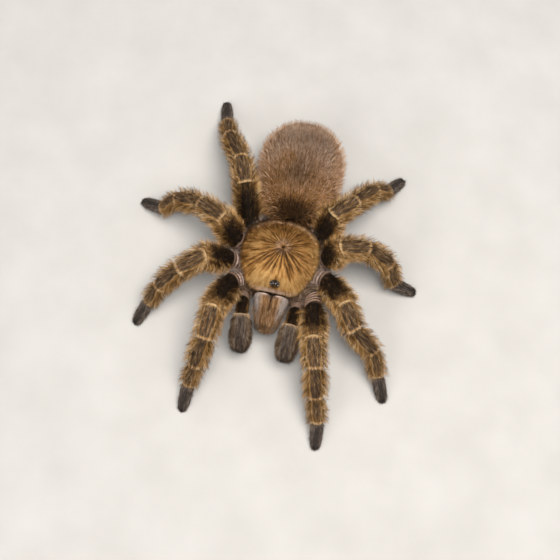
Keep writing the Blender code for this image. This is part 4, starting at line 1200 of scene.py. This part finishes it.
# The kinds of length. A dark hip is painted darker, as painted shade from the shield's edge, under longer
# hair. A ringed femur is held forwards, so that its bare base shows from above. A black femur, on a hind leg,
# stays black.
LIMB_KINDS = {
    "hip": (hip_marks, {}),
    "dark_hip": (hip_marks, {"shown": 0.35}),
    "femur": (femur_marks, {}),
    "ringed_femur": (femur_marks, {"bare": RINGED_TO, "ridge": RIDGE, "gold": 0.85}),
    "black_femur": (femur_marks, {"bare": 0.03, "wash": 0.45}),
    "patella": (patella_marks, {}),
    "shin": (shin_marks, {}),
    "ankle": (ankle_marks, {}),
    "tarsus": (tarsus_marks, {}),
}
LEG_COLOURS = (
    (0.0, 0.010, 0.005, 0.002),
    (0.25, 0.029, 0.0145, 0.0055),
    (0.45, 0.15, 0.083, 0.034),
    (0.65, 0.415, 0.207, 0.060),
    (0.82, 0.64, 0.352, 0.112),
    (1.0, 0.88, 0.63, 0.35),
)
LEG_HAIRS = 11500
LEG_HAIR_WIDTH = 0.11
LEG_BRISTLES = 4400
LEG_BRISTLE_WIDTH = 0.07
LEG_FLOW = 2.4
CLAW_LENGTH = 1.3
CLAW_RADIUS = 0.15
CLAW_PITCHES = (12, -58)
CLAW_SPREAD = 0.4
CLAW_SPLAY = 0.18
CLAW_BACK = 0.55
CLAW_RISE = 0.35
LEG_CUTICLE = skin_finish("leg_cuticle", LEG_COLOURS, 0.7, 0.75, 0.22)
LEG_HAIR = hair_finish("leg_hair", LEG_COLOURS, spread=0.55, root=0.38, tip=1.22)


def make_limb(name, joints, parts, sink, flow, slot, solids, down, bristles, **settings):
    """One limb through these joints; parts gives the kind, the shape and the widths of each length."""
    segments = [Segment(a, b, shape, widths) for a, b, (_, shape, widths) in zip(joints, joints[1:], parts)]
    mitre(segments)
    rings, numbers, shares = limb_rings(segments, sink)
    marks = limb_marks(numbers, shares, [kind for kind, *_ in parts])
    skin = closed_skin(f"{name}_skin", rings, marks, flow)
    dress(skin, LEG_CUTICLE, slot, *[f"{name}_{solid}" for solid in solids])
    grow_coat(f"{name}_hair", skin, LEG_HAIR, slot, down, bristles, **settings)
    return segments[-1]


def make_claws(name, foot):
    """The two small claws over the tip of a foot."""
    for side, label in ((1, "inner"), (-1, "outer")):
        tip = foot.end - foot.along * CLAW_BACK - UP * (FOOT_SINK - CLAW_RISE)
        root = tip + foot.side * (side * CLAW_SPREAD)
        forward = unit(foot.along * (1, 1, 0) + foot.side * (side * CLAW_SPLAY))
        claw = spike(f"{name}_claw_{label}", root, forward, CLAW_PITCHES, CLAW_LENGTH, CLAW_RADIUS)
        dress(claw, FANG_BLACK, "black_fang")


def make_legs():
    for number, ((side, pair), (lift, size, headings)) in enumerate(LEG_POSES.items()):
        sign = 1 if side == "left" else -1
        hip_x, hip_y = HIPS[pair]
        heights = [height + lift * share for height, share in zip(JOINT_HEIGHTS, LIFT_SHARES)]
        lengths = [length * size for length in LEG_LENGTHS[pair]]
        heart_x, heart_share, heart_drop = LEG_HEART
        heart = np.array((sign * heart_x, hip_y * heart_share, JOINT_HEIGHTS[0] - heart_drop))
        joints = [heart, *limb_joints((sign * hip_x, hip_y), heights, lengths, headings)]
        hip, thigh, shaft = "hip", "femur", SHAFT
        if (side, pair) == ("left", 1):
            hip, thigh, shaft = "dark_hip", "ringed_femur", RINGED_SHAFT
        if pair == 4:
            hip, thigh = "dark_hip", "black_femur"
        parts = (
            (hip, COXA, HIP_PROFILE),
            (thigh, FEMUR, jointed(0.8, 0.8, shaft)),
            ("patella", PATELLA, jointed(0.8, 0.93)),
            ("shin", TIBIA, jointed(0.93, 0.82)),
            ("ankle", METATARSUS, jointed(0.82, 0.84)),
            ("tarsus", TARSUS, FOOT_PROFILE),
        )
        solids = ("femur", "patella_tibia", "metatarsus", "tarsus")
        coats = (LEG_HAIRS, LEG_HAIR_WIDTH), (LEG_BRISTLES, LEG_BRISTLE_WIDTH)
        settings = {"seed": 100 + number, "streak": 2.1}
        name = f"leg_{side}_{pair}"
        foot = make_limb(name, joints, parts, FOOT_SINK, LEG_FLOW, "golden_leg", solids, *coats, **settings)
        make_claws(name, foot)


make_legs()

# Palps
# The two feelers beside the jaws, built like short legs without a metatarsus. Their last lengths are thick
# with grey-brown hair, streaked with gold, and end in a dark velvet pad.
PALP_HIP = (8.5, -12.4)
# A palp's coxa starts this far aside, this far behind its hip and this far below it.
PALP_HEART = (4.6, 6.5, 1.8)
PALP_HEIGHTS = (9.0, 15.0, 13.0, 9.0, 5.6)
PALP_LENGTHS = (10.2, 4.5, 5.2, 3.8)
PALP_HEADINGS = {"left": (-93, -90, -90, -88), "right": (-82, -80, -84, -88)}
PALP_COXA = (2.3, 1.9, 1.0)
PALP_FEMUR = (1.9, 2.0, 1.1)
PALP_PATELLA = (2.4, 2.7, 1.0)
PALP_TIBIA = (2.85, 2.9, 1.0)
PALP_TARSUS = (2.75, 2.0, 0.9)
PALP_KNEE = (
    (0.0, 0.76), (0.02, 0.77), (0.04, 0.86), (0.055, 0.96), (0.08, 1.0), (0.14, 1.0), (0.25, 1.03),
    (0.4, 1.06), (0.55, 1.07), (0.7, 1.06), (0.85, 1.03), (0.93, 1.0), (1.0, 0.97),
)
PALP_CLUB = (
    (0.0, 0.97), (0.08, 1.0), (0.18, 1.03), (0.3, 1.05), (0.45, 1.06), (0.6, 1.06), (0.75, 1.04),
    (0.88, 1.01), (0.96, 0.96), (1.0, 0.93),
)
PALP_FOOT = (
    (0.0, 0.93), (0.06, 0.96), (0.12, 1.0), (0.22, 1.03), (0.34, 1.04), (0.46, 1.03), (0.58, 1.0),
    (0.7, 0.94), (0.8, 0.86), (0.88, 0.76), (0.95, 0.6), (1.0, 0.4),
)
PALP_HAIRS = 10000
PALP_HAIR_WIDTH = 0.085
PALP_BRISTLES = 800
PALP_FLOW = 2.1


def palp_marks(share, height, top, flank, upper, fold, knee, start=0.0, end=1.0, **_):
    """The thick end of a palp, from its pale knee band to its dark tip: grey-brown with fine pale streaks."""
    along = blend(start, end, share)
    fold = fold * (share < 0.5) * (start == 0.0)
    band = knee * upper * (start == 0.0)
    streaks = 0.5 + 0.5 * np.sin(height * 17.0 + 1.5 * along)
    dark = step(along, 0.72, 1.0)
    return {
        # Painted shade darkens the fold at the knee.
        "mark": np.clip(0.56 + 0.12 * streaks * top - 0.5 * dark + 0.6 * band - 0.3 * fold, 0, 1),
        "slate": (0.92 - 0.3 * flank) * (1 - band),
        "flesh": 0.2 * band,
        "down": METRE * (1.4 + 0.4 * flank - 0.8 * band),
        "down_rise": 0.28 + 0.4 * flank,
        "down_thick": 1.0 + 2.2 * band - 0.3 * fold,
        "bristle": METRE * 2.0,
        "bristle_rise": 0.55,
        "bristle_thick": (0.4 + 0.6 * flank) * (1 - band) * step(share, 0.1, 0.2),
        "bristle_mark": 0.58 - 0.3 * dark,
        "bristle_slate": 0.55,
    }


# The femur of a palp is black above, with few bristles. Its last three lengths share one pattern to the tip.
LIMB_KINDS["palp_femur"] = (femur_marks, {"bare": RINGED_TO, "ridge": RIDGE, "gold": 0.15})
LIMB_KINDS["palp_knee"] = (palp_marks, {"end": 0.35})
LIMB_KINDS["palp_club"] = (palp_marks, {"start": 0.35, "end": 0.75})
LIMB_KINDS["palp_foot"] = (palp_marks, {"start": 0.75})


def make_palps():
    hip_x, hip_y = PALP_HIP
    heart_x, heart_back, heart_drop = PALP_HEART
    parts = (
        ("dark_hip", PALP_COXA, HIP_PROFILE),
        ("palp_femur", PALP_FEMUR, jointed(0.8, 0.8, RINGED_SHAFT)),
        ("palp_knee", PALP_PATELLA, PALP_KNEE),
        ("palp_club", PALP_TIBIA, PALP_CLUB),
        ("palp_foot", PALP_TARSUS, PALP_FOOT),
    )
    solids = ("femur", "patella_tibia", "tarsus")
    coats = (PALP_HAIRS, PALP_HAIR_WIDTH), (PALP_BRISTLES, LEG_BRISTLE_WIDTH)
    for number, (side, sign) in enumerate(SIDES):
        heart = np.array((sign * heart_x, hip_y + heart_back, PALP_HEIGHTS[0] - heart_drop))
        joints = limb_joints((sign * hip_x, hip_y), PALP_HEIGHTS, PALP_LENGTHS, PALP_HEADINGS[side])
        settings = {"seed": 120 + number, "lean": 0.12}
        joints = [heart, *joints]
        make_limb(f"palp_{side}", joints, parts, 0.0, PALP_FLOW, "grey_jaw", solids, *coats, **settings)


make_palps()

# Breast plate and waist
# Under the shield the coxae meet a flat heart-shaped plate of dark brown cuticle, thinly haired. Behind it a
# narrow stalk joins the abdomen.
BREAST_WIDTH = 15.0
BREAST_FRONT = CARAPACE_FRONT
BREAST_REAR = 11.4
BREAST_BOTTOM = 5.4
BREAST_TOP = CARAPACE_UNDERSIDE - 0.3
BREAST_COAT = 0.35
BREAST_SIDES = 64
BREAST_END_GAP = 0.3
BREAST_FLOW = 5.0
BREAST_DENTS = ((4.6, 4.5), (5.0, 0.0), (4.4, -4.2))
BREAST_HAIRS = (6000, 0.11)
BREAST_BRISTLES = (260, 0.1)
WAIST_HEIGHT = 9.6
WAIST_RADIUS = 1.7
WAIST_SIDES = 36
WAIST_DROP = 0.6
WAIST_IN_BREAST = 1.2
WAIST_IN_ABDOMEN = 1.4
WAIST_FLOW = 1.6
WAIST_HAIRS = (650, 0.1)
ABDOMEN_FRONT = 13.3


def make_breast():
    shares = np.concatenate([[0.0, 0.012, 0.03], np.linspace(0.06, 0.94, 26), [0.97, 0.988, 1.0]])
    angle = ring_angles(BREAST_SIDES, math.pi / 2)
    flat, tall = boxy(np.cos(angle), 0.7), boxy(np.sin(angle), 0.7)
    rounded = {0.0: 1.6, 0.012: 0.8, 0.03: 0.3, 0.97: 0.3, 0.988: 0.8, 1.0: 1.6}
    rings = []
    for share in shares:
        inset = BREAST_COAT + rounded.get(round(float(share), 3), 0.0)
        bulge = math.sin(math.pi * min(max(share, 0.04), 0.93)) ** 0.6
        half = BREAST_WIDTH / 2 * (0.42 + 0.58 * bulge) - inset
        y = blend(BREAST_FRONT + BREAST_END_GAP, BREAST_REAR - BREAST_END_GAP, share)
        z = (BREAST_TOP + BREAST_BOTTOM) / 2 + tall * ((BREAST_TOP - BREAST_BOTTOM) / 2 - inset)
        rings.append(np.stack([flat * half, np.full(BREAST_SIDES, y), z], axis=1))
    rings = np.stack(rings)
    low = step(-rings[..., 2], -7.5, -5.8)
    dents = np.zeros(rings.shape[:2])
    for aside, y in BREAST_DENTS:
        for sign in (1, -1):
            dents += bell(rings[..., 0], sign * aside, 0.5) * bell(rings[..., 1], y, 0.8)
    rings[..., 2] += 0.25 * dents * low
    marks = {
        "mark": 0.22 + 0.1 * low - 0.15 * dents,
        "flesh": 0.25 * (1 - low),
        "down": 1.5 * METRE,
        "down_rise": 0.4,
        "down_thick": (0.15 + low) * (1 - np.clip(dents, 0, 1)),
        "bristle": 2.4 * METRE,
        "bristle_rise": 0.7,
        "bristle_thick": low,
        "bristle_mark": 0.45,
    }
    skin = closed_skin("breast_plate", rings, marks, BREAST_FLOW)
    dress(skin, LEG_CUTICLE, "pale_coxa", "sternum_and_coxae")
    grow_coat("breast_hair", skin, LEG_HAIR, "pale_coxa", BREAST_HAIRS, BREAST_BRISTLES, seed=140)


def make_waist():
    angle = ring_angles(WAIST_SIDES, 0.0)
    rings = []
    for share in np.linspace(0, 1, 15):
        size = WAIST_RADIUS * (0.82 + 0.18 * abs(2 * share - 1) ** 2) * (1 + 0.03 * math.sin(share * 26))
        y = blend(BREAST_REAR - WAIST_IN_BREAST, ABDOMEN_FRONT + WAIST_IN_ABDOMEN, share)
        z = WAIST_HEIGHT - WAIST_DROP + size * np.sin(angle)
        rings.append(np.stack([size * np.cos(angle), np.full(WAIST_SIDES, y), z], axis=1))
    rings = np.stack(rings)
    marks = {"mark": 0.3, "flesh": 0.5, "down": 0.8 * METRE, "down_rise": 0.4, "down_thick": 1.0}
    skin = closed_skin("waist_skin", rings, marks, WAIST_FLOW)
    dress(skin, LEG_CUTICLE, "pale_coxa", "waist")
    grow_coat("waist_hair", skin, LEG_HAIR, "pale_coxa", WAIST_HAIRS, seed=150)


make_breast()
make_waist()

# Abdomen
# A soft egg of thin skin, thick with fine hair that lies backwards from the waist: black at the very front,
# orange-brown over the shoulders, greyer above and behind, with a paler reddish edge of outstanding hair,
# lifted further at the rear by painted light through the hair.
ABDOMEN_ASIDE = 1.2
ABDOMEN_LENGTH = 33.4
ABDOMEN_WIDTH = 27.2
ABDOMEN_HEIGHT = 22.6
ABDOMEN_MIDDLE_HEIGHT = 13.4
ABDOMEN_YAW = 3.0
ABDOMEN_BLUNT_FRONT = 3.8
ABDOMEN_BLUNT_REAR = 2.25
ABDOMEN_FUR = 1.3
ABDOMEN_SIDES = 96
ABDOMEN_RINGS = 80
ABDOMEN_HAIRS = 40000
ABDOMEN_HAIR_WIDTH = 0.09
ABDOMEN_BRISTLES = 3500
ABDOMEN_BRISTLE_WIDTH = 0.055
ABDOMEN_FLOW = 19.0
ABDOMEN_COLOURS = (
    (0.0, 0.014, 0.007, 0.003),
    (0.22, 0.085, 0.040, 0.014),
    (0.45, 0.33, 0.155, 0.045),
    (0.62, 0.41, 0.222, 0.105),
    (0.85, 0.56, 0.33, 0.192),
    (1.0, 0.72, 0.50, 0.35),
)


def abdomen_place(points):
    """From the abdomen's own frame, whose origin is at its front, to the body's."""
    turn = math.radians(ABDOMEN_YAW)
    x = points[..., 0] * math.cos(turn) - points[..., 1] * math.sin(turn) + ABDOMEN_ASIDE
    y = points[..., 0] * math.sin(turn) + points[..., 1] * math.cos(turn) + ABDOMEN_FRONT
    return np.stack([x, y, points[..., 2]], axis=-1)


def make_abdomen():
    angle = ring_angles(ABDOMEN_SIDES)
    turn = np.linspace(0.035, math.pi - 0.035, ABDOMEN_RINGS)
    share = (0.5 - 0.5 * np.cos(turn))[:, None]
    across = 2 * share - 1
    blunt = np.where(across < 0, ABDOMEN_BLUNT_FRONT, ABDOMEN_BLUNT_REAR)
    size = np.maximum(1 - np.abs(across) ** blunt, 0) ** 0.5 * (1 + 0.05 * across)
    lift = blend(WAIST_HEIGHT, ABDOMEN_MIDDLE_HEIGHT, np.sin(math.pi / 2 * np.minimum(share / 0.3, 1)))
    lift = blend(lift, WAIST_HEIGHT, np.maximum(share - 0.6, 0) ** 1.5)
    x = size * (ABDOMEN_WIDTH / 2 - ABDOMEN_FUR) * np.cos(angle)
    z = lift + size * (ABDOMEN_HEIGHT / 2 - ABDOMEN_FUR) * np.sin(angle)
    y = np.broadcast_to(blend(ABDOMEN_FUR * 0.6, ABDOMEN_LENGTH - ABDOMEN_FUR, share), x.shape)
    rings = abdomen_place(np.stack([x, y, z], axis=2))
    high, middle = np.sin(angle)[None, :], np.abs(np.cos(angle))[None, :]
    beside = np.abs(x)
    dark = (1 - step(share, 0.03, 0.2)) * step(high, 0.0, 0.6) * (1 - step(beside, 1.0, 9.0))
    shoulder = (1 - step(share, 0.2, 0.5)) * step(beside, 1.5, 6.0) * (0.4 + 0.6 * (x < 0))
    spot = bell(x, -4.0, 2.4) * bell(share, 0.5, 0.08) * step(high, 0.2, 0.6)
    grey = step(share, 0.3, 0.7) * step(high, 0.1, 0.8)
    left = step(x, 3.0, 9.0) * step(high, -0.2, 0.4) * step(share, 0.15, 0.4)
    heart = bell(beside, 0, 4.6) * step(high, 0.0, 0.5) * step(share, 0.1, 0.32)
    heart = heart * (1 - step(share, 0.36, 0.68))
    rear = step(share, 0.72, 0.93)
    edge = np.maximum(rear, 0.6 * step(middle, 0.7, 1.0) * step(share, 0.2, 0.4))
    tone = 0.57 + 0.25 * grey + 0.06 * left - 0.75 * dark - 0.11 * shoulder - 0.17 * heart
    # The paler edge is partly the hair's own colour; at the rear it is lifted further as painted light
    # shining through the standing hair.
    tone = tone + 0.16 * edge + 0.16 * rear - 0.12 * spot
    flank = (1 - step(share, 0.05, 0.25)) * step(middle, 0.4, 0.9)
    marks = {
        "mark": np.clip(tone - 0.1 * flank, 0, 1),
        "slate": np.clip(0.38 * grey + 0.45 * heart + 0.1 * left - 0.3 * edge - 0.6 * spot, 0, 1),
        "flesh": 0.0,
        "down": METRE * (1.12 + 1.9 * flank),
        "down_rise": 0.26 + 0.1 * middle + 0.28 * edge + 0.4 * rear + 0.5 * flank,
        "down_thick": 0.4 + 0.6 * step(high, -0.4, 0.1) + 0.25 * rear,
        "bristle": METRE * (2.7 - 0.6 * (1 - step(share, 0.0, 0.3)) + 1.2 * flank),
        "bristle_rise": 0.95 + 0.15 * middle,
        "bristle_thick": 0.3 + 0.7 * step(middle, 0.5, 1.0) + 0.5 * step(share, 0.8, 1.0),
        "bristle_mark": 0.78 - 0.4 * dark - 0.08 * (1 - step(share, 0.2, 0.5)),
        "bristle_slate": np.clip(0.2 * grey, 0, 1),
    }
    skin = closed_skin("abdomen_skin", rings, marks, ABDOMEN_FLOW)
    dress(skin, skin_finish("abdomen_skin", ABDOMEN_COLOURS, 0.75, 0.7), "brown_abdomen", "abdomen")
    fur = hair_finish("abdomen_fur", ABDOMEN_COLOURS, spread=0.66, root=0.32, tip=1.3)
    down, bristles = (ABDOMEN_HAIRS, ABDOMEN_HAIR_WIDTH), (ABDOMEN_BRISTLES, ABDOMEN_BRISTLE_WIDTH)
    for part, seed in (("under", 160), ("over", 190)):
        grow_coat(f"abdomen_{part}coat", skin, fur, "brown_abdomen", down, bristles, seed, lean=0.18)


make_abdomen()

# Spinnerets
# Two slender jointed fingers under the rear end, brown and hairy, that lay the silk.
SPINNERET_LENGTH = 5.6
SPINNERET_RADIUS = 0.95
SPINNERET_SPREAD = 2.1
SPINNERET_COAT = 0.2
SPINNERET_SIDES = 28
SPINNERET_FLOW = 0.8
SPINNERET_AT = 0.905
SPINNERET_HEIGHT = 4.55
SPINNERET_TURN = 10
SPINNERET_PITCH = 8
SPINNERET_SUNK = 1.2
SPINNERET_HAIRS = (1000, 0.08)
SPINNERET_PROFILE = (
    (0.0, 0.9), (0.1, 1.0), (0.2, 1.0), (0.3, 0.94), (0.34, 0.88), (0.355, 0.76), (0.375, 0.76),
    (0.39, 0.85), (0.5, 0.86), (0.6, 0.8), (0.645, 0.76), (0.66, 0.64), (0.675, 0.64), (0.69, 0.7),
    (0.8, 0.62), (0.9, 0.48), (0.96, 0.34), (1.0, 0.16),
)


def make_spinnerets():
    hair = hair_finish("spinneret_hair", ABDOMEN_COLOURS)
    cuticle = skin_finish("spinneret_skin", ABDOMEN_COLOURS, 0.7, 0.6)
    angle = ring_angles(SPINNERET_SIDES)
    for side, sign in SIDES:
        foot = (sign * SPINNERET_SPREAD, SPINNERET_AT * ABDOMEN_LENGTH, SPINNERET_HEIGHT)
        root = abdomen_place(np.array(foot))
        heading = math.radians(90 - sign * SPINNERET_TURN + ABDOMEN_YAW)
        pitch = math.radians(SPINNERET_PITCH)
        flat = math.cos(pitch)
        aim = np.array((math.cos(heading) * flat, math.sin(heading) * flat, math.sin(pitch)))
        sideways = unit(np.cross(aim, UP))
        over = np.cross(sideways, aim)
        rings = []
        for share, size in SPINNERET_PROFILE:
            wide = (SPINNERET_RADIUS - SPINNERET_COAT) * size
            middle = blend(root - aim * SPINNERET_SUNK, root + aim * SPINNERET_LENGTH, share)
            rings.append(middle + wide * oval(angle, sideways, over))
        rings = np.stack(rings)
        marks = {"mark": 0.5, "down": 1.0 * METRE, "down_rise": 0.5, "down_thick": 1.0}
        name = f"spinneret_{side}"
        skin = closed_skin(f"{name}_skin", rings, marks, SPINNERET_FLOW)
        dress(skin, cuticle, "brown_abdomen", name)
        grow_coat(f"{name}_hair", skin, hair, "brown_abdomen", SPINNERET_HAIRS, seed=200 + sign)


make_spinnerets()
for pattern in (DOWN_HAIR, BRISTLE):
    bpy.data.objects.remove(pattern)

# Floor, lights and camera
# A plain pale floor and soft light from above, seen steeply from the front, as the animal was seen.
FLOOR_SIZE = 3.0
CAMERA_PLACE = Vector((0.0216, -0.0850, 0.2916))
CAMERA_BACK = Vector((0.0597, -0.2691, 0.9613))
CAMERA_RIGHT = Vector((0.9763, 0.2164, 0.0))
CAMERA_LENS = 60
# Of each light: its place, its size in metres, its power in watts and its colour.
LIGHTS = {
    "key": ((0.14, -0.02, 0.69), 0.4, 7.5, (1.0, 0.97, 0.93)),
    "fill": ((-0.3, -0.45, 0.5), 0.5, 2.4, (1.0, 0.98, 0.95)),
}
SKY_COLOUR = (0.93, 0.96, 1.0, 1)
SKY_STRENGTH = 0.42


def make_floor():
    mesh = bpy.data.meshes.new("floor")
    corners = [(x * FLOOR_SIZE / 2, y * FLOOR_SIZE / 2, 0) for x, y in ((-1, -1), (1, -1), (1, 1), (-1, 1))]
    mesh.from_pydata(corners, [], [(0, 1, 2, 3)])
    made, tree, shader = new_finish("pale_floor", {"Roughness": 0.85})
    stops = ((0.3, 0.40, 0.385, 0.365), (0.7, 0.44, 0.425, 0.405))
    tree.links.new(colour_ramp(tree, body_noise(tree, 60, 5.0), stops), shader.inputs["Base Color"])
    mesh.materials.append(made)
    link("floor", mesh)


def make_light(name, place, size, power, colour):
    light = bpy.data.lights.new(name, "AREA")
    light.size = size
    light.energy = power
    light.color = colour
    made = link(name, light)
    made.location = place
    made.rotation_euler = (-Vector(place)).to_track_quat("-Z", "Y").to_euler()


def make_sky():
    world = bpy.data.worlds.new("studio")
    world.use_nodes = True
    background = world.node_tree.nodes["Background"]
    background.inputs["Color"].default_value = SKY_COLOUR
    background.inputs["Strength"].default_value = SKY_STRENGTH
    bpy.context.scene.world = world


def make_camera():
    camera = link("camera", bpy.data.cameras.new("camera"))
    camera.data.lens = CAMERA_LENS
    camera.data.clip_start = 0.01
    back = CAMERA_BACK.normalized()
    right = CAMERA_RIGHT.normalized()
    up = back.cross(right)
    turned = camera.matrix_world.copy()
    for row in range(3):
        turned[row][0], turned[row][1], turned[row][2] = right[row], up[row], back[row]
        turned[row][3] = CAMERA_PLACE[row]
    camera.matrix_world = turned
    bpy.context.scene.camera = camera


make_floor()
for name, settings in LIGHTS.items():
    make_light(name, *settings)
make_sky()
make_camera()
bpy.context.scene.view_settings.view_transform = "Standard"
